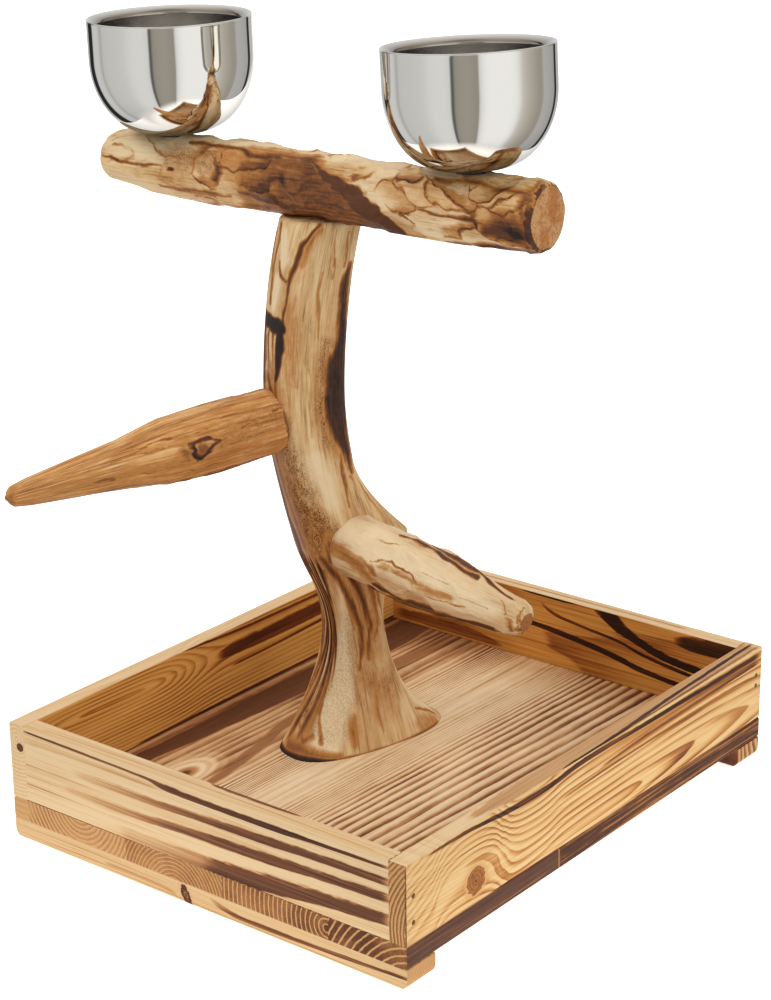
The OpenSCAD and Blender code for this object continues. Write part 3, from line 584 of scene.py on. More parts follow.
looks = {
    "front_board": board_wood(
        "front", "x", ([(-200, -300), (200, -300)], [(-200, 60), (200, 74)]), 5, CREAM, gain=.24, fine=.75,
        bands=[([(X0 + 10, .7), (X0 + 110, .62), (X0 + 135, .8), (X0 + 287, .85)],
                [(X0 + 8, 72.8, .6), (X0 + 60, 72.4, .8), (X0 + 110, 71.6, .8), (X0 + 128, 69.8, 1.9),
                 (X0 + 160, 69.4, 1.7), (X0 + 200, 69.6, 1.8), (X0 + 240, 70.3, 1.1), (X0 + 292, 71.2, .9)]),
               ([(X0 + 50, .25), (X0 + 100, .42), (X0 + 150, .6), (X0 + 190, .72), (X0 + 287, .72)],
                [(X0 + 50, 57.5, 2.2), (X0 + 100, 57.5, 2.2), (X0 + 150, 59, 2.2), (X0 + 200, 60.2, 2.6),
                 (X0 + 240, 61.6, 2.3), (X0 + 292, 62.6, 2.4)]),
               ([(X0 + 40, .2), (X0 + 90, .4), (X0 + 140, .6), (X0 + 180, .72), (X0 + 287, .74)],
                [(X0 + 40, 45, 2.2), (X0 + 90, 45, 2.2), (X0 + 140, 47.3, 2.6), (X0 + 200, 49.2, 3.2),
                 (X0 + 240, 51, 2.6), (X0 + 292, 52.9, 2.6)]),
               ([(X0 + 85, .25), (X0 + 150, .45), (X0 + 168, .72), (X0 + 287, .76)],
                [(X0 + 85, 31, 3), (X0 + 150, 31.5, 4), (X0 + 170, 31.5, 4.6), (X0 + 200, 33.4, 5.2),
                 (X0 + 240, 36.8, 4), (X0 + 292, 40, 3.6)]),
               (.3, [(X0 + 8, 67, 2), (X0 + 60, 68, 1.5), (X0 + 125, 68, 1.2)])],
        tops=[(.7, [(X0 + 150, -172, .6), (X0 + 170, -172, 2.2), (X0 + 200, -172, 2), (X0 + 222, -172, .6)]),
              (.35, [(X0 + 20, -179, .6), (X0 + 130, -178, .8), (X0 + 280, -179, .6)])]),
    "rear_board": board_wood(
        "rear", "x", ([(-200, 260), (200, 230)], [(-200, 60), (200, 30)]), 9, ORANGE, gain=.36, base=.28,
        fine=.5,
        bands=[(.86, [(X0 + 60, 56, 1.5), (X0 + 130, 53.6, 1.6), (X0 + 170, 50, 2), (X0 + 200, 45.5, 2),
                      (X0 + 220, 41.5, 1.8), (X0 + 288, 36, 1.4)]),
               ([(X0 + 140, .6), (X0 + 200, .75), (X0 + 288, .9)],
                [(X0 + 135, 72, 1), (X0 + 150, 64, 1.2), (X0 + 170, 61, 1), (X0 + 200, 57.5, 1),
                 (X0 + 220, 52.5, 1.2), (X0 + 288, 44, 1.2)]),
               (.92, [(X0 + 178, 82, 6), (X0 + 190, 75, 6), (X0 + 203, 67, 4.5), (X0 + 215, 61.5, 3),
                      (X0 + 235, 55.5, 2.6), (X0 + 292, 50, 2.4)]),
               (.9, [(X0 + 120, 76.5, 1.6), (X0 + 150, 76.5, 2), (X0 + 170, 77, 1.4)]),
               (.8, [(X0 + 240, 69, 2), (X0 + 262, 70, 5), (X0 + 296, 72, 6)]),
               (.5, [(X0 + 12, 33, 3), (X0 + 60, 33, 4), (X0 + 110, 30, 1)])],
        tops=[(.45, [(X0 + 60, 176, 1), (X0 + 250, 178, 1)])]),
    "left_side_board": board_wood(
        "left_side", "y", ([(-190, INNER_X - 7), (-100, INNER_X - 1.4), (-5, INNER_X - 16.2),
                            (60, INNER_X - 17.2), (190, INNER_X - 17.6)],
                           [(-190, 66), (0, 62), (190, 61)]), 2.5, ORANGE,
        gain=[(-190, .25), (-60, .5), (190, .45)], base=.12, wave=(.4, 120), sharp=.3, fine=.4,
        bands=[(.68, [(-14, 61, 1), (5, 61.5, 4), (40, 61, 4.6), (120, 62, 5), (183, 62, 5)]),
               (.66, [(-45, 76, .8), (-10, 74, .8), (30, 72.4, .9), (90, 71.8, 1), (183, 71, 1)]),
               (.7, [(0, 50.2, .7), (40, 50.6, .8), (95, 52, 1), (183, 53, 1)]),
               # The lowest band: a dark gap line at the floor's joint with painted shadow
               (.75, [(-90, 27.6, 1), (0, 28.2, .9), (183, 28.4, .9)])],
        end=CREAM, end_gain=.25, spot=(X0 + 8, 61, 3)),
    "right_side_board": board_wood(
        "right_side", "y", ([(-190, FACE_X - 7), (-60, FACE_X - 2.6), (0, FACE_X - 2.4), (63, FACE_X - 6.2),
                             (190, FACE_X - 15.4)],
                            [(-190, 22), (-160, 34), (-125, 48), (-95, 36), (-70, 28), (-30, 33), (20, 34.5),
                             (100, 38), (190, 40)]), 4.6, YELLOW,
        gain=[(-183, .4), (-130, .46), (-100, .6), (-40, .64), (183, .64)], base=.07, fine=.6,
        wave=(.5, 120), sharp=.3, blot=.7, knots=[(-121, 41, 8.6)],
        bands=[([(-168, .7), (-60, .85), (0, .8), (60, .95), (183, .9)],
                [(-168, 74.3, .4), (-150, 74.4, .9), (-110, 72.8, 1.3), (-60, 70.6, 1.8), (-10, 73.2, 1.6),
                 (50, 72.4, 1.4), (130, 71.4, 1.5), (183, 71, 1.4)]),
               ([(0, .2), (60, .4), (183, .5)], [(-20, 68, 2), (60, 69, 4), (183, 69, 4)]),
               (.6, [(0, 62, .7), (60, 64.5, 1), (130, 65.5, 1), (183, 66, .7)]),
               (.55, [(-40, 57.4, .7), (60, 59.6, .9), (120, 59.6, 1), (183, 57, .7)])],
        tops=[(.42, [(-120, FACE_X - 6, 2), (-40, FACE_X - 6, 7), (183, FACE_X - 6, 7)]),
              (.95, [(-40, FACE_X, 1), (0, FACE_X - .6, 1.4), (90, FACE_X - 4.5, 1.4),
                     (183, FACE_X - 7, 1.2)]),
              (.6, [(20, FACE_X, 1), (90, FACE_X - 1, 1), (183, FACE_X - 2, 1)])],
        end=GRAIN, end_gain=.75, end_rings=(FACE_X + 42, 34, 2.3), scorch=FACE_X),
    "front_foot_rail": board_wood(
        "front_rail", "x", ([(-200, -260), (200, -260)], [(-200, 20), (200, 24)]), 7, RAIL, gain=.35,
        base=.18, fine=.7, knots=[(X0 + 139.5, 5.4, 3.5, 1.9, .4)], burnt=.92, core=.3,
        bands=[([(X0 + 155, .3), (X0 + 180, .6), (X0 + 300, .68)],
                [(X0 + 155, 10.5, 1), (X0 + 170, 6.2, 1.6), (X0 + 185, 4.6, 1.4), (X0 + 240, 5.6, 1.2),
                 (X0 + 306, 8.4, 1)]),
               (.35, [(X0 + 70, 6, .8), (X0 + 120, 5, 1), (X0 + 136, 3, 2)])],
        end=GRAIN, end_gain=.4, end_rings=(-230, 30, 1.6)),
    # The rear rail: its darker colours are painted shade under the tray
    "rear_foot_rail": board_wood(
        "rear_rail", "x", ([(-200, 240), (200, 240)], [(-200, 20), (200, 24)]), 5, RAIL_IN_SHADE, gain=.5, base=.3,
        end=GRAIN),
}

# Dark streaks of the floor: (strength, soft rim, [(y, place from the tray's left edge, half width), ...])
FLOOR_STREAKS = [
    (.86, 1.5, [(-183, 24.5, 7), (-100, 26, 7), (-60, 28.5, 8.5), (20, 31, 11.5), (80, 33, 13), (120, 34, 13),
                (183, 33, 11)]),
    (.7, 1.5, [(-183, 12, 1.2), (183, 12, 1.2)]),
    (.62, 2, [(-183, 92, 2), (-110, 84, 3), (-80, 80, 5), (-40, 73, 5), (20, 63, 5), (90, 63, 6),
              (183, 66, 7.5)]),
    (.6, 1, [(40, 83, .3), (90, 83, 1.5), (183, 84, 2)]),
    (.45, 1.5, [(80, 128, .3), (120, 129, 1.4), (183, 129, 2)]),
]
# Where along y the panel's right edge changes its tone, at a pale line
TONE_Y = -40.6


def stave_wood(name, pith, spacing, end_gain, pale_lines):
    """Floor stave: stripes on the upper face by place across the tray, rings round the pith on the front
    edge, and the long right edge nearly black. count says how many stripes lie left of a place."""
    net = Net(name)
    x, y, z = net.place()
    across = x - X0
    lean = net.curve(across, [(0, 0), (40, .015), (110, .02), (165, .035), (232, .045), (300, .05)])
    drift = net.noise(across / 30, y / 110, z / 50, 2, .5, 3)
    u = across - lean * (y + 90) + (drift - .5) * 2
    streak = net.noise(x / .9, y / 60, z / 9, 3, .62, 15)
    cloud = net.noise(x / 22, y / 70, z / 20, 3, .58, 27)
    mottle = net.noise(x / 5, y / 14, z / 9, 3, .6, 39)
    count = net.curve(u, [(0, 0), (20, 3), (45, 6), (60, 9), (90, 13), (117, 25), (140, 29), (166, 39),
                          (232, 49), (300, 59)])
    phase = (count + (mottle - .5) * .22 + (drift - .5) * .4) % 1
    late = net.step(.2, .85, phase) * net.step(1, .88, phase)
    lot = net.noise(u / 6, y / 300, z / 90, 2, .6, 113)
    gain = net.curve(u, [(0, .5), (45, .35), (60, .4), (88, .3), (92, .62), (114, .55), (118, .12),
                         (136, .14), (142, .38), (164, .42), (169, .6), (232, .72), (300, .72)])
    rest = net.curve(u, [(0, .42), (19, .36), (45, .34), (60, .34), (88, .22), (92, .16), (117, .04),
                         (140, .06), (165, .09), (170, .1), (232, .16), (300, .2)])
    wash = net.noise(x / 60, y / 60, z / 60, 2, .5, 97)
    heat = rest + late * gain * (.1 + cloud * .9 + wash * .6) * (.35 + lot * 1.3)
    heat = heat + (streak - .5) * .6 + (cloud - .5) * .35
    heat = heat + (mottle - .5) * .2 + net.step(120, 172, y) * .24 + net.step(-160, -172, y) * .2
    # A painted sheen: the floor lighter in a soft patch right of the middle, toward the front
    heat = heat - net.exp(-((across - 205) / 50) ** 2 - ((y + 60) / 60) ** 2) * .1
    for power, soft, rows in FLOOR_STREAKS:
        middle, width = net.chain(y, rows)
        d = net.abs(across - middle) - width + (streak - .5) * 3 + (mottle - .5) * 2
        heat = net.most(heat, net.step(soft, -soft, d) * (power + (streak - .5) * .3))
    knot = net.hypot((across - 62) / 1.6, (y + 100) / 3.2)
    heat = heat * net.step(5, 13, knot) + net.step(4.5, 1.5, knot) * .7
    heat = heat + net.step(13, 6, knot) * (.08 + .12 * net.sin(knot * 2.2))
    color = net.ramp(net.clamp(heat), FLOOR)
    r = net.hypot(across - pith[0] - .03 * y - 6 + (drift - .5), z - pith[1]) / spacing
    ring = (r + (cloud - .5) * .5 + (mottle - .5) * .35) % 1
    if pale_lines:
        lines = 1 - net.step(.6, .76, ring) * net.step(1, .88, ring) * (.55 + mottle * .6)
    else:
        lines = net.step(.1, .75, ring) * net.step(1, .85, ring)
    dots = net.noise(x / .8, y / .8, z / .8, 2, .6, 61)
    face = lines * end_gain * (.15 + cloud * 1.6) + (dots - .5) * .6 + net.step(.9, .3, r) * .7
    facing = net.facing()
    color = net.mix(net.step(.6, .8, net.abs(facing[1])), color, net.ramp(net.clamp(face), GRAIN))
    band = net.noise(x, y / 80, z / 1.3, 3, .6, 81)
    side = net.step(TONE_Y - .9, TONE_Y + .6, y)
    char = .74 + (band - .5) * (1 + side * .5) + (mottle - .5) * .2
    char = net.clamp(char - net.step(1, .4, net.abs(y - TONE_Y)) * .6)
    dusk = net.mix(side, rgb(92, 60, 45), rgb(84, 50, 32))
    dusk = net.mix(net.step(.46, .76, char), net.mix(side, rgb(150, 100, 68), rgb(172, 112, 62)), dusk)
    dusk = net.mix(net.step(.8, 1, char), dusk, rgb(56, 38, 30))
    color = net.mix(net.step(.6, .8, facing[0]), color, dusk)
    return net.finish(Base_Color=color, Roughness=.6, Specular_IOR_Level=.12,
                      Normal=net.bump(streak * .5 - late * .5, .4))


# Pith (place from the tray's left edge, height), spacing of the rings and their strength on the front edge
for i, (pith, spacing, gain) in enumerate([((6, 60), 4, .2), ((55, 36), 3, .5), ((130, 4), 2.5, .62),
                                           ((244, 20), 3.3, .76), ((308, -14), 4.2, .98)]):
    looks[f"floor_stave_{i + 1}"] = stave_wood(f"stave_{i + 1}", pith, spacing, gain, pale_lines=i > 1)


# Metal and rubber

def metal(name, color, rough, painted_dim_reflection=None, edge=1.0):
    """Metal. painted_dim_reflection is its colour where the attribute of that name is 1, a painted darker
    reflection, and edge the share that it mirrors at its outline."""
    net = Net(name)
    base = net.mix(net.field("painted_dim_reflection"), rgb(*color), rgb(*painted_dim_reflection)) if painted_dim_reflection else rgb(*color)
    return net.finish(Base_Color=base, Metallic=1.0, Roughness=rough, Specular_Tint=(edge, edge, edge, 1))


# Painted reflections: the shell's steel darker toward its foot, the liner brown-grey on its rim band
steel = metal("steel", (226, 222, 214), .045, (170, 168, 165), .55)
lining = metal("lining", (222, 219, 214), .16, (134, 122, 106), .8)
zinc = metal("zinc", (170, 168, 160), .35)
rust = Net("rust").finish(Base_Color=rgb(118, 78, 48), Roughness=.7, Specular_IOR_Level=.1)
rubber = Net("rubber").finish(Base_Color=rgb(34, 32, 31), Roughness=.7)
looks.update(corner_nails=rust, left_washer=rubber, right_washer=rubber)
for part in ("panel_nails", "foot_rail_screws", "trunk_screws", "perch_dowel_screw",
             "left_branch_dowel_screw", "right_branch_dowel_screw", "left_cup_insert", "right_cup_insert",
             "left_cup_stud", "right_cup_stud"):
    looks[part] = zinc
for part, look in looks.items():
    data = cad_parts[part].data
    data.materials.clear()
    data.materials.append(look)


# Trunk

# Marks on the trunk: (strength, soft rim, [(place round from the front, height, half width), ...])
TRUNK_MARKS = {
    "burn": [
        (.74, 2, [(-9, 333, .6), (-14, 328, 1.2), (-18.3, 322, 1.6), (-20, 314, 1.6), (-22, 306, 1.3),
                  (-22.6, 298, .9), (-22.6, 286, .9), (-22.6, 276, 1.2)]),
        (.5, 5, [(-9, 330, 1), (-14, 322, 1.5), (-17, 310, 1)]),
        (.55, 1.6, [(-46, 325, .7), (-45, 314, .7), (-42, 300, .6), (-41, 288, .4)]),
        (.7, 2, [(-34, 309, .7), (-30, 304, 1), (-24, 301, .7)]),
        (1, 2, [(-49, 274, 4.6), (-40, 273.4, 4.6), (-30, 272, 5), (-24.5, 273, 4)]),
        (.98, 2, [(-26, 272, 3.2), (-26, 262, 3.8), (-26, 250, 3.2), (-27, 240, 1.2)]),
        (.6, 5, [(-27, 244, 1.5), (-27, 232, 2), (-26, 222, .6)]),
        (.8, 2, [(-45, 272, 2.4), (-46, 255, 2), (-45, 236, 2)]),
        (.66, 1.4, [(-38.5, 270, 1), (-38, 255, .7), (-38, 243, .4)]),
        (.6, 1.4, [(-33.5, 270, 1), (-33, 258, .6), (-33, 248, .5)]),
        (.58, 6, [(-38, 238, 3), (-33, 230, 4), (-30, 218, 3)]),
        (.3, 1.8, [(-17, 292, .3), (-16, 270, .6), (-15, 250, .6), (-14, 236, .3)]),
        (.3, 1.8, [(-20, 262, .3), (-19, 240, .5), (-18, 222, .3)]),
        (.28, 1.8, [(-6, 262, .3), (-5, 230, .5), (-5, 205, .3)]),
        (.3, 2, [(-3, 306, .8), (-1, 285, 1.2), (0, 264, .8)]),
        (.86, 4.5, [(15, 308, .6), (14.6, 300, 1.6), (14.4, 290, 2.8), (14.8, 275, 3.4), (16, 262, 5),
                    (15.4, 250, 7.4), (14.4, 240, 9), (13.8, 228, 9.6), (13.4, 215, 8.6), (13.8, 205, 6.4),
                    (14.8, 195, 3.6), (16, 186, 1.6), (17, 178, .5)]),
        (1, 6, [(17, 284, .8), (17.6, 272, 3), (17.6, 262, 3.6), (16, 252, 2)]),
        (.62, 5, [(24, 290, 2), (26, 262, 5), (27, 230, 7), (26, 205, 5), (24, 190, 3)]),
        (.55, 1.4, [(21, 300, .5), (21, 285, .6)]), (.5, 1.4, [(18, 212, .4), (19, 195, .6), (20, 178, .4)]),
        (.72, 4, [(-50, 235, 4), (-47, 200, 3), (-44, 170, 3), (-42, 150, 3), (-40, 130, 4), (-41, 112, 4)]),
        (.4, 7, [(-36, 215, 4), (-36, 185, 4), (-34, 155, 5), (-31, 132, 5)]),
        (.5, 1.6, [(-26, 185, .4), (-27, 165, .6), (-26, 146, .8)]),
        (.5, 1.6, [(-19, 150, .5), (-20, 138, .9), (-18, 126, .8)]),
        (.52, 1.6, [(10.5, 192, .5), (11, 176, .8), (9, 158, .5)]),
        (.45, 1.4, [(15, 176, .5), (17, 160, .4)]),
        (.45, 1.4, [(22, 170, .4), (27, 152, .5), (33, 142, .4)]),
        (.5, 9, [(-8, 140, 2), (-10, 132, 4), (-14, 124, 3)]),
        (.8, 5, [(-18, 126, 1.8), (-13.5, 114, 2), (-8.5, 100, 1.8), (-6, 88, 1.4), (-5.2, 76, 1.4),
                 (-6, 62, 1), (-12, 50, .4)]),
        (.74, 5, [(-4, 116, 1.4), (0, 104, 2), (3.5, 90, 1.8), (4, 78, 1), (0, 66, 1), (-3, 54, .2)]),
        (.6, 4.4, [(8, 110, 1), (9.5, 96, 1), (9, 80, .6), (6, 68, .2)]),
        (.45, 2, [(-11, 106, .7), (-9.4, 92, .6), (-9, 76, .5)]),
        (.5, 1.6, [(13, 98, .5), (14, 82, .6), (15, 68, .4)]),
        (.16, 14, [(-6, 48, 1), (4, 44, 1), (13, 46, 1)]),
        (.5, 7, [(-19, 22, .8), (-23, 13, 2), (-25, 6, 1)]),
        (1, 2, [(-90, -1, 3), (-66, -.6, 3.2), (-52, 0, 2.6), (-40, 0, .8)]),
        (.56, 8, [(-74, 4, 3), (-60, 5, 3), (-46, 3, 2), (-36, 1, 1)]),
        (.5, 3, [(-66, 16, 1), (-58, 8, 1.4), (-50, 12, .8)]), (.5, 3, [(-44, 20, .8), (-46, 10, 1.2)]),
        (.62, 3, [(-47, 324, .6), (-47, 300, .8), (-46.5, 280, .6)]),
        (.75, 3, [(-39.5, 331, .7), (-41, 300, .6), (-40, 284, .9)]),
        (.75, 3, [(-41, 264, .6), (-42, 250, .8), (-46, 238, 1), (-46, 212, 1)]),
        (.5, 2, [(-40, 0, 1), (0, 0, 1), (45, 0, 1)]),
        (.6, 2, [(27, 15, .3), (33, 12.5, .6), (42, 8.5, .6), (51, 3.5, .6)]),
        (.72, 4, [(-19, 118, .6), (-23, 100, 1.4), (-25, 80, 1.8), (-29, 60, 1.8), (-36, 40, 1.2),
                  (-44, 22, .4)]),
        (.6, 4, [(-46, 120, 1.4), (-47, 95, 1.8), (-47, 66, 1.8), (-51, 47, 1.6), (-58, 30, 1)]),
        (.4, 5, [(-2, 34, 1), (-3, 20, 1.6), (-2, 10, .6)]),
        (.5, 1.3, [(2, 330, .2), (4, 315, .4), (4.6, 300, .2)]),
        (.5, 1.3, [(10, 328, .2), (11, 316, .4), (11, 306, .2)]),
    ],
    "amber": [
        (.7, 8, [(7, 290, 2), (6, 270, 3), (2, 250, 4), (1, 235, 4), (1, 215, 4), (6, 196, 4)]),
        (.8, 8, [(-20, 285, 4), (-19, 262, 5), (-19, 240, 4)]),
        (.7, 6, [(-40, 262, 8), (-38, 240, 8), (-36, 215, 7)]),
        (1, 5, [(8, 262, 2), (4, 244, 2), (2, 226, 2), (4, 206, 2), (8, 192, 2)]),
        (.8, 5, [(-46, 325, 2.5), (-45, 300, 2.5)]), (.9, 9, [(-22, 235, 4), (-24, 215, 6)]),
        (.7, 7, [(24, 330, 3), (25, 305, 3), (26, 280, 3)]),
        (.8, 5, [(-10, 327, 2), (-15, 316, 2.4), (-17, 303, 1.4)]),
        (1, 8, [(-34, 205, 7), (-34, 180, 8), (-32, 150, 9), (-26, 130, 9)]),
        (.9, 10, [(-10, 112, 8), (0, 95, 10), (4, 80, 9), (2, 62, 9)]),
        (1, 3, [(27, 6, 4), (36, 4, 4), (46, 2, 2)]),
        (.8, 8, [(-30, 175, 9), (-24, 155, 12), (-16, 136, 12)]),
        (.6, 10, [(-6, 40, 6), (8, 36, 6), (2, 22, 8)]),
    ],
    "pale": [
        (.9, 4, [(-34, 322, 6), (-30, 312, 5)]), (.9, 3, [(-34, 300, 4), (-35, 290, 4), (-35, 283, 3)]),
        (.8, 7, [(-6, 190, 6), (-2, 176, 8), (-1, 162, 5)]),
        (1, 5, [(-13, 106, .6), (-14, 84, 3), (-20, 62, 5), (-25.5, 35, 8), (-37, 17, 9.5), (-46, 5, 8)]),
        (1, 3, [(13, 84, 1), (17, 62, 2), (21, 46, 3), (25, 33, 4), (33, 20, 4.4), (43, 12.5, 3.2),
                (51, 7, 2)]),
        (.9, 1.6, [(-41.5, 267, .8), (-41, 252, .8), (-41, 240, .4)]),
        (.9, 1.6, [(-36, 266, .8), (-35.5, 250, .6)]), (.5, 4, [(19, 22, 3), (22, 10, 3)]),
    ],
    "speck": [
        (.7, 12, [(-28, 214, 7), (-22, 190, 9), (-20, 170, 10)]),
        (1, 9, [(-30, 172, 9), (-24, 156, 13), (-15, 140, 13), (-14, 126, 8)]),
        (.7, 6, [(6, 262, 3), (3, 240, 3), (2, 220, 3), (5, 200, 3)]),
        (.7, 6, [(-13, 84, 4), (-19, 60, 6), (-25, 38, 10), (-37, 20, 12)]),
        (.4, 14, [(-10, 44, 4), (5, 36, 8), (16, 44, 6)]), (.5, 5, [(17, 75, 3), (20, 45, 4), (40, 20, 5)]),
        (.8, 8, [(-55, 20, 8), (-44, 12, 6)]), (.5, 8, [(-34, 250, 8), (-30, 225, 6)]),
    ],
}


def trunk():
    """The trunk's section at height h is |x / hx|^n + |y / hy|^n = 1, with its own half width to each side. A
    plane cuts its near left corner at the top, and grooves run down the left of its foot at even angles."""
    rows, sides = 348, 264
    h = np.concatenate([np.zeros(5), TRUNK_H * np.linspace(0, 1, rows) ** 1.1, np.full(8, TRUNK_H)])
    share = np.concatenate([np.linspace(.01, .98, 5), np.ones(rows), np.linspace(.97, .01, 8)])[:, None]
    h, a = np.meshgrid(h, np.linspace(0, 2 * np.pi, sides, endpoint=False), indexing="ij")
    left, right, front = halves(h)
    n = 3.6 - flare(h, 1.5)
    hx = np.where(np.cos(a) > 0, right, left)
    r = (np.abs(np.cos(a) / hx) ** n + np.abs(np.sin(a) / front) ** n) ** (-1 / n)
    corner, cut_low = 3.93, 275
    off = (a - corner + np.pi) % (2 * np.pi) - np.pi
    plane = (23.6 - .11 * (h - 303)) / np.cos(np.clip(off, -REACH, REACH))
    plane = plane + np.maximum(0, 292 - h) ** 2 * .01
    r = np.where((np.abs(off) < REACH) & (h > cut_low), np.minimum(r, plane), r)
    r = r + .35 * np.sin(h / 21 + 2 * a) * np.sin(3 * a + h / 47) * smooth(0, 30, h)
    drawn = a + .05 * np.sin(h / 19) + .02 * np.sin(h / 7)
    wave = .75 * np.sin(2 * np.pi * drawn / .19) + .45 * np.sin(2 * np.pi * drawn / .31 + 1 + h / 60)
    last = 3.35 + .006 * h
    deep = smooth(2.45, 2.8, a) * smooth(last, last - .3, a) * smooth(RIGHT_H, 112, h) * smooth(-2, 14, h)
    broad = np.sin(2 * np.pi * (a + .0016 * h) / .42) * smooth(3.8, 4.1, a) * smooth(5.3, 4.9, a)
    broad = broad * smooth(125, 105, h) * smooth(25, 60, h)
    r = r - deep * (.9 - .9 * wave) * (.35 + .65 * smooth(0, 60, h)) * .8 + broad * .9
    r = (r - 2 * np.clip((h - TRUNK_H + 2) / 2, 0, 1) ** 2) * share
    x, y = r * np.cos(a), r * np.sin(a)
    turn = np.radians(12 * flare(h, 1))
    x, y = x * np.cos(turn) - y * np.sin(turn), x * np.sin(turn) + y * np.cos(turn)
    straight = np.stack([x, y, h], -1)
    lay = np.stack([22 * np.cos(a), 22 * np.sin(a), h], -1)
    p = np.stack([x + bow(h) - flare(h, 2), y - 9 * flare(h, 2), h], -1)
    step = np.linalg.norm(np.roll(straight, -1, 1) - straight, axis=-1)
    u = np.cumsum(step, 1) - step
    front_at = int(round(sides * .75))
    u = u - u[:, front_at:front_at + 1]
    du = ripple(lay, (11, 11, 30), 1) * .9 + ripple(lay, (5, 5, 12), 2) * .3
    dv = ripple(lay, (34, 34, 40), 3) * (.3 + .7 * smooth(0, 60, h))
    fields = paint(u + du, h + dv, step.sum(1, keepdims=True), TRUNK_MARKS)
    fields.update(lay=lay, cap=np.where((share < 1) & (h > 300), 1.0, 0.0), calm=smooth(-10, 40, h),
                  groove=deep * np.clip(.85 - .8 * wave, 0, 1.5) * (.5 + .5 * smooth(20, 75, h)))
    look = limb_wood("trunk_look", [(0, (240, 212, 166)), (.5, (222, 184, 130)), (1, (188, 138, 84))],
                     0, .6, 8, 60)
    tube("trunk_shape", put(TRUNK, p), look, fields, "trunk", "trunk_wood")


trunk()


# Whittled limbs

def whittle(seed, length, count, depth, size, spread=1.0):
    """Scoops scattered over a limb: each takes the roomiest of some random places."""
    rnd = np.random.default_rng(seed)
    cuts = []
    for _ in range(count):
        best, room = None, -1
        for _ in range(7):
            z0, turn = rnd.random() * length, rnd.random() * 2 * np.pi
            away = [((turn - c[1] + math.pi) % (2 * math.pi) - math.pi) * GIRTH_R for c in cuts]
            gap = min([math.hypot((z0 - c[0]) / 1.9, d) for c, d in zip(cuts, away)] or [99])
            if gap > room:
                best, room = (z0, turn), gap
        cuts.append(best + (depth * (.4 + rnd.random()), size * (.6 + 1.1 * rnd.random()),
                            .05 * spread * (rnd.random() - .5)))
    return cuts


# Marks on the limbs: (strength, soft rim, [(place along, degrees round, half width), ...])
# Where the charred part of the perch ends: (place along, degrees round)
CHAR = [(158, -146), (168, -132), (174, -120), (188, -108), (198, -96), (205, -84), (211, -72), (215, -58),
        (219, -44), (222, -30), (224, -14), (224, 4)]
PERCH_MARKS = {
    "burn": [
        (.6, 1.6, [(4, -102, .6), (14, -100, 1), (28, -96, 1), (40, -94, .9), (52, -99, .5)]),
        (.8, 1.4, [(56, -90, .6), (59, -92, 1.6)]),
        (.5, 3, [(48, -56, .6), (62, -58, 1.2), (84, -62, 1.4), (104, -60, 1)]),
        (.6, 2.6, [(70, -155, 1), (88, -150, 1.4), (103, -150, 1.2), (120, -146, 2), (138, -142, 2)]),
        (.62, 5, [(94, -122, 1.5), (97, -104, 3), (95, -86, 2.5)]),
        (.62, 5, [(112, -72, 2), (122, -68, 3.4), (138, -66, 4)]),
        (.5, 4, [(245, -150, 1), (268, -146, 1.4), (290, -144, 1.4), (306, -140, 2)]),
        (.6, 2, [(240, -88, .8), (262, -84, 1), (282, -82, 1)]),
        (.6, 10, [(284, -74, 4), (296, -78, 8), (304, -72, 9)]),
        (.95, 8, [(292, -74, 2), (299, -78, 5), (304, -72, 5)]),
        (.5, 7, [(309, -172, 2), (308, -120, 2.4), (309, -80, 3), (308, -40, 3), (308, 20, 4),
                 (308, 120, 4)]),
        (.8, 2, [(313, -172, .6), (312.8, -140, 1.2), (312.4, -110, 2.2), (312.2, -80, 3), (312.8, -40, 1.8),
                 (313, 20, 1), (313, 120, .8), (313, 188, .6)]),
        (.66, 5, [(256, -22, 3), (285, -20, 5), (306, -14, 6)]),
        (.75, 8, [(60, 60, 10), (90, 80, 12), (150, 100, 14)]), (.6, 8, [(230, 90, 8), (262, 110, 10)]),
    ],
    "amber": [
        (1, 12, [(88, -130, 8), (112, -120, 14), (126, -80, 14)]),
        (.5, 10, [(200, -120, 5), (240, -110, 8), (280, -110, 8)]), (.5, 8, [(60, -70, 5), (80, -66, 7)]),
    ],
    "pale": [
        (.7, 8, [(12, -130, 8), (45, -125, 10)]),
        (.7, 5, [(190, -128, 3), (206, -106, 4), (222, -82, 4), (240, -52, 4)]),
        (.8, 5, [(90, -166, 5), (160, -170, 6), (215, -168, 6)]),
        (.8, 3, [(250, -44, 3), (275, -40, 3), (300, -38, 2)]), (.4, 6, [(12, -60, 6), (50, -40, 6)]),
    ],
    "speck": [
        (.5, 8, [(60, -120, 8), (88, -120, 8)]), (.5, 8, [(150, -100, 20), (190, -70, 14)]),
    ],
    # Where the painted shade of the facets shows
    "facet_shade_reach": [
        (.35, 10, [(10, -110, 12), (60, -120, 12)]), (1, 12, [(85, -140, 6), (85, -60, 8)]),
        (1, 12, [(104, -125, 10), (150, -80, 14)]),
        (1, 10, [(196, -130, 4), (240, -118, 8), (300, -112, 10)]),
        (.85, 10, [(228, -80, 8), (300, -70, 12)]), (.8, 20, [(60, 60, 30), (260, 90, 40)]),
    ],
}
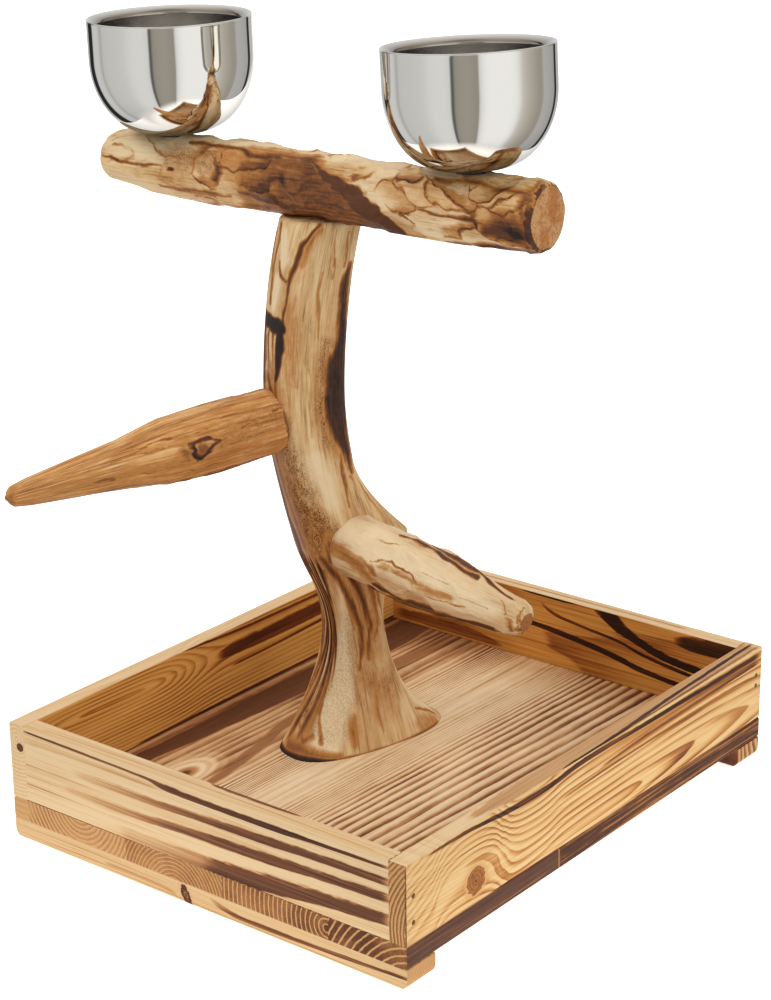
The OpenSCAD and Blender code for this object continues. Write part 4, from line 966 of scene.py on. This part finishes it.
# The scorch, four fields that each begin further along, and its crisp dark edge
for power, soft, low, back in ((.4, 14, 116, 7), (.5, 14, 130, 6), (.58, 12, 144, 5), (.66, 12, 160, 4)):
    PERCH_MARKS["burn"] += [(power, soft, [(low, t, 5), (reach - back, t, 4.2)]) for reach, t in CHAR
                            if reach - back > low - 20]
PERCH_MARKS["burn"].append((.66, 2, [(reach + 2.5 - w, t, w)
                                     for (reach, t), w in zip(CHAR, [1, 1.6, 3, 4.6, 6] + [7] * 7)]))
LEFT_MARKS = {
    "burn": [
        (1, 2, [(63, -68, .7), (55, -67, .8), (46, -74, .5), (53, -86, 1.2), (60, -96, 1.5), (64, -84, 1.9),
                (63, -68, .7)]),
        (.8, 3, [(63, -72, .8), (63, -84, 1.6), (59, -93, 1.6), (53, -85, 1)]), (.42, 3, [(57, -79, 4)]),
        (.46, 8, [(68, -76, 3), (68, -92, 3)]), (.4, 8, [(48, -68, 1), (44, -86, 2)]),
        (.62, 1.2, [(30, -118, .2), (60, -116, .4), (96, -112, .2)]),
        (.6, 1.2, [(74, -60, .2), (104, -58, .4), (140, -60, .2)]),
        (.6, 1.2, [(70, -98, .2), (90, -100, .5), (118, -94, .2)]),
        (.56, 1.2, [(8, -108, .2), (26, -112, .4), (44, -106, .2)]),
        (.36, 10, [(96, -92, 2), (120, -90, 2), (150, -88, 1)]),
        (.64, 1.2, [(46, -75, .3), (30, -66, .4), (14, -58, .4), (3, -52, .3)]),
        (.6, 1.2, [(46, -80, .2), (26, -84, .5), (6, -80, .2)]),
        (.6, 1.2, [(50, -52, .2), (80, -50, .4), (110, -46, .2)]),
        (.7, 4, [(112, -98, .8), (120, -96, 1.4), (124, -96, .6)]),
        (.5, 4, [(0, -150, 2), (60, -150, 3), (120, -140, 2)]),
        (.5, 2, [(0, 60, 2), (0, 180, 2), (0, 300, 2)]),
        (.34, 4, [(168, 0, 1), (172, -90, 2), (172, 180, 2)]),
    ],
    "amber": [
        (.8, 10, [(10, -100, 8), (60, -112, 8), (110, -110, 6)]), (.6, 10, [(20, -60, 8), (60, -60, 8)]),
    ],
    "speck": [
        (.4, 10, [(10, -60, 8), (40, -80, 6)]),
    ],
    # Where the painted shade of the facets shows
    "facet_shade_reach": [
        (.5, 20, [(0, -60, 30), (173, -60, 30)]),
    ],
}
RIGHT_MARKS = {
    "burn": [
        (.44, 10, [(4, -100, 3), (16, -94, 5), (26, -86, 5), (32, -70, 3)]),
        (.6, 5, [(30, -99, .4), (34, -93, 1.2), (36, -84, 1)]), (.34, 8, [(42, -104, 2.4), (47, -108, 1)]),
        (.3, 8, [(60, -104, 2), (74, -98, 3), (92, -100, 3)]),
        (.4, 1.4, [(30, -143, .2), (38, -147, .5), (48, -152, .3)]),
        (.6, 1.3, [(34, -106, .2), (46, -120, .5), (56, -116, .6), (69, -104, .4)]),
        (.5, 1.3, [(76, -90, .3), (92, -86, .5), (104, -92, .3)]), (.3, 6, [(50, -110, 1.5), (66, -98, 2)]),
        (.34, 1.3, [(70, -128, .2), (88, -124, .4)]), (.34, 1.3, [(98, -112, .2), (116, -108, .4)]),
        (.72, 3, [(36, -58, 1.6), (60, -50, 2.4), (95, -52, 2.6), (122, -50, 3)]),
        (.8, 5, [(30, -26, 6), (80, -16, 9), (122, -10, 7)]),
        (.75, 2.5, [(42, -176, 1), (70, -176, 2), (100, -170, 1.6)]),
        (.7, 2.5, [(60, 165, 2), (90, 170, 2.4), (124, 180, 2)]),
        (.5, 1.4, [(122, -146, .3), (127, -128, .6), (129, -112, .3)]),
        (.5, 4, [(131, -104, 1), (133, -70, 2)]),
        (.6, 2, [(136.4, -180, .3), (136.4, -120, .4), (136.4, -60, .6), (136.4, 0, .8), (136.4, 90, .6)]),
        (.7, 6, [(40, 90, 8), (90, 110, 8)]),
    ],
    "amber": [
        (.5, 6, [(40, -80, 3), (70, -70, 4)]), (.6, 5, [(116, -100, 4), (130, -90, 4)]),
    ],
    "pale": [
        (.95, 8, [(8, -140, 8), (30, -135, 12), (60, -120, 12), (90, -110, 10), (118, -110, 6)]),
    ],
    # Where the painted shade of the facets shows
    "facet_shade_reach": [
        (.5, 20, [(0, 60, 30), (137, 60, 30)]),
    ],
}

ALONG_X = PERCH @ place((-PERCH_LEFT, 0, 0)) @ place(turn=90, axis="y")
limb("perch_shape", ALONG_X, PERCH_LEN, lambda z: PERCH_D / 2 * PERCH_SHAPE(z / PERCH_LEN),
     whittle(5, PERCH_LEN, 84, 2.1, 22, 1.6), (420, 184),
     limb_wood("perch_look", [(0, (246, 218, 174)), (.5, (232, 194, 140)), (1, (204, 152, 90))], 1, .5, 14,
               34, end=(214, 164, 110), facets=.7),
     PERCH_MARKS, instead="top_perch", slot="perch_wood")
limb("left_branch_shape", LEFT_BRANCH, LEFT_LEN, lambda z: BRANCH_R * LEFT_SHAPE(z / LEFT_LEN),
     whittle(8, LEFT_LEN, 24, .9, 38, .5), (260, 150),
     limb_wood("left_branch_look", [(0, (236, 186, 120)), (.5, (206, 144, 80)), (1, (156, 92, 46))], .45, .95,
               4, 60, end=(200, 144, 86), facets=.3, dark=(130, 72, 34)),
     LEFT_MARKS, instead="left_branch", slot="left_branch_wood")
limb("right_branch_shape", RIGHT_BRANCH, RIGHT_LEN, lambda z: BRANCH_R * RIGHT_SHAPE(z / RIGHT_LEN),
     whittle(3, RIGHT_LEN, 34, 1.7, 20), (240, 150),
     limb_wood("right_branch_look", [(0, (232, 204, 164)), (.5, (222, 188, 142)), (1, (206, 162, 110))], .5,
               .25, 12, 40, end=(186, 124, 70), facets=.2),
     RIGHT_MARKS, instead="right_branch", slot="right_branch_wood")


# Cups

def curve(foot, side, low, rise, n=40):
    """Quarter of an ellipse from the foot's edge up to the side."""
    a = np.linspace(0, np.pi / 2, n)
    return [(foot + (side - foot) * math.sin(t), low + rise * (1 - math.cos(t))) for t in a]


def spin(name, m, profile, look, painted_dim_reflection, **kw):
    """Surface of revolution about +Z of frame m, from points (radius, height). painted_dim_reflection is
    points (height, share of the painted darker reflection)."""
    a = np.linspace(0, 2 * np.pi, 144, endpoint=False)
    r, z = np.array(profile, float).T
    p = np.stack([r[:, None] * np.cos(a), r[:, None] * np.sin(a), z[:, None] + 0 * a], -1)
    level, share = np.array(painted_dim_reflection, float).T
    tube(name, put(m, p), look, {"painted_dim_reflection": np.interp(z, level, share)[:, None] + 0 * a},
         slot="polished_steel", **kw)


def wall(r, low, high, n):
    """Points up or down a cup's straight side."""
    return [(r, z) for z in np.linspace(low, high, n)]


# A cup's radius, its liner's radius, the sheet's thickness, and how high the cup stands on the washer
CUP_R, LINER_R, SHEET, LIFT = 49.5, 43.6, .6, 2.6
outer = ([(2.9, .2), (2.9, 0), (8, 0), (14, 0)] + curve(15, CUP_R, 0, 45) + wall(CUP_R, 46, 68, 12)
         + [(CUP_R - .05, 68.35), (CUP_R - .3, 68.4)])
inner = ([(CUP_R - .5, 68.3), (CUP_R - SHEET, 67)] + wall(CUP_R - SHEET, 66, 46, 12)
         + curve(15, CUP_R - SHEET, SHEET, 44.4)[::-1] + [(8, SHEET), (2.9, .4)])
rim = [(43.7, 64.6), (44.3, 65.5), (48.6, 67.9), (49.5, 68.45), (49.55, 68.7), (49.3, 69), (48.9, 69.05),
       (48.5, 68.9), (43.9, 66.4), (43.3, 65.8), (43.05, 65), (43, 64.4)]
bowl = ([(.05, 7)] + curve(11.75, LINER_R, 7, 38.6) + wall(LINER_R, 47, 63, 8) + rim
        + wall(LINER_R - SHEET, 64, 46, 8) + curve(11.75, LINER_R - SHEET, 7 + SHEET, 38)[::-1]
        + [(.05, 7 + SHEET)])
# A seat is the place along the perch and the lean back and aside, in degrees
for side, seat in (("left", (-105, -2, -.5)), ("right", (108, -4, -2))):
    m = cup_frame(*seat) @ place((0, 0, LIFT))
    # The lists of heights paint the darker reflections: toward the shell's foot and on the liner's rim band
    spin(f"{side}_shell_shape", m, outer + inner, steel, [(0, 1), (6, .7), (16, .2), (24, 0)],
         instead=f"{side}_cup_shell", body=f"{side}_cup")
    spin(f"{side}_liner_shape", m, bowl, lining,
         [(64.2, 0), (65, .7), (65.8, 1), (66.4, .9), (68, .35), (68.9, .05)],
         instead=f"{side}_cup_liner", body=f"{side}_cup")


# Floor, light and camera, in metres

# Where the camera stands, and the place across that it looks at
CAMERA_AT = (.9201, -1.1219, .7177)
SUBJECT_X = .0308
VIEW = math.degrees(math.atan2(CAMERA_AT[1], CAMERA_AT[0] - SUBJECT_X))
# The floor ends in front in a half round of radius FRONT_R, its middle FRONT_AT before the camera
FRONT_AT, FRONT_R, FLOOR_LONG, FLOOR_HALF = 1.43, .36, 4.6, 1.1


def flat(name, corners, look):
    """Flat polygon through corners that stands beside the object as part of the studio."""
    mesh = bpy.data.meshes.new(name)
    mesh.from_pydata(corners, [], [tuple(range(len(corners)))])
    mesh.materials.append(look)
    o = bpy.data.objects.new(name, mesh)
    bpy.context.scene.collection.objects.link(o)


white = Net("floor_white")
away = np.array([-math.cos(math.radians(VIEW)), -math.sin(math.radians(VIEW))])
across = np.array([-away[1], away[0]])
middle = np.array(CAMERA_AT[:2]) + away * FRONT_AT
corners = [tuple(middle - away * FRONT_R * math.cos(t) + across * FRONT_R * math.sin(t)) + (0.0,)
           for t in np.linspace(-np.pi / 2, np.pi / 2, 25)]
corners += [tuple(middle + away * FLOOR_LONG + across * w) + (0.0,) for w in (FLOOR_HALF, -FLOOR_HALF)]
fx, fy, _ = [v / 1000 for v in white.place()]
ahead = (fx - CAMERA_AT[0]) * float(away[0]) + (fy - CAMERA_AT[1]) * float(away[1]) - FRONT_AT
aside = (fx - CAMERA_AT[0]) * float(across[0]) + (fy - CAMERA_AT[1]) * float(across[1])
fade = white.step(0, .16, white.most(ahead, FRONT_R - white.hypot(ahead, aside)))
flat("floor", corners, white.finish(Base_Color=(.9, .9, .9, 1), Roughness=.9, Emission_Color=(1, 1, 1, 1),
                                    Emission_Strength=.75, Alpha=fade))

# The studio's walls: their brightness by the angle from the camera's side, for the cups to mirror
sky = Net("studio", world=True)
dx, dy, dz = sky.node("ShaderNodeTexCoord").split()
turn = (sky.do("ARCTAN2", dy, dx) * (180 / math.pi) - VIEW + 180) % 360 - 180
walls = sky.curve(turn, [(-180, .95), (-151, .95), (-148, .04), (-133, .04), (-130, .86), (-112, .7),
                         (-108, .56), (-104, .68), (-70, .74), (-40, .88), (-26, .8), (-24, .12),
                         (-20, .34), (-5, .4), (9, .36), (11, .76), (30, 1.12), (50, 1.12), (72, .68),
                         (92, .46), (104, .4), (110, .56), (137, .56), (140, .04), (146, .04),
                         (149, .95), (180, .95)])
tint = sky.most(sky.step(60, 85, turn) * sky.step(112, 104, turn),
                sky.step(-24, -21, turn) * sky.step(11, 9, turn))
warm = sky.mix(tint, (.96, .975, 1, 1), (1, .95, .86, 1))
roof = sky.step(.25, .85, dz)
low = sky.step(-.82, -.9, dz)
strength = walls * (1 - roof) * (1 - low) + roof * (1.04 - .5 * sky.step(.93, .97, dz)) + low * .9
color = sky.mix(sky.most(roof, low), warm, (1, 1, 1, 1))
back = sky.node("ShaderNodeBackground", {"Color": color, "Strength": strength})
sky.tree.links.new(back.out, sky.tree.nodes.new("ShaderNodeOutputWorld").inputs["Surface"])
bpy.context.scene.world = sky.owner


def area(name, at, size, power):
    """Soft round lamp that aims at the trunk and doesn't show in the cups."""
    light = bpy.data.lights.new(name, "AREA")
    light.shape = "DISK"
    light.size, light.energy = size, power
    o = bpy.data.objects.new(name, light)
    o.location = at
    o.rotation_euler = (Vector((0, 0, .2)) - Vector(at)).to_track_quat("-Z", "Y").to_euler()
    o.visible_glossy = False
    bpy.context.scene.collection.objects.link(o)


area("key", (-.9, -1.5, 2.2), .7, 12)
area("side", (2.2, -.2, 1.2), 1.0, 5)

camera = bpy.data.cameras.new("camera")
camera.sensor_width, camera.lens = 36, 91.74
camera.clip_start, camera.clip_end = .01, 50
view = bpy.data.objects.new("camera", camera)
right = Vector((.78377, .62094, -.01136))
up = Vector((-.20447, .27527, .93937))
pose = Matrix((right, up, right.cross(up))).transposed().to_4x4()
pose.translation = Vector(CAMERA_AT)
view.matrix_world = pose
bpy.context.scene.collection.objects.link(view)
bpy.context.scene.camera = view
bpy.context.scene.view_settings.view_transform = "Standard"
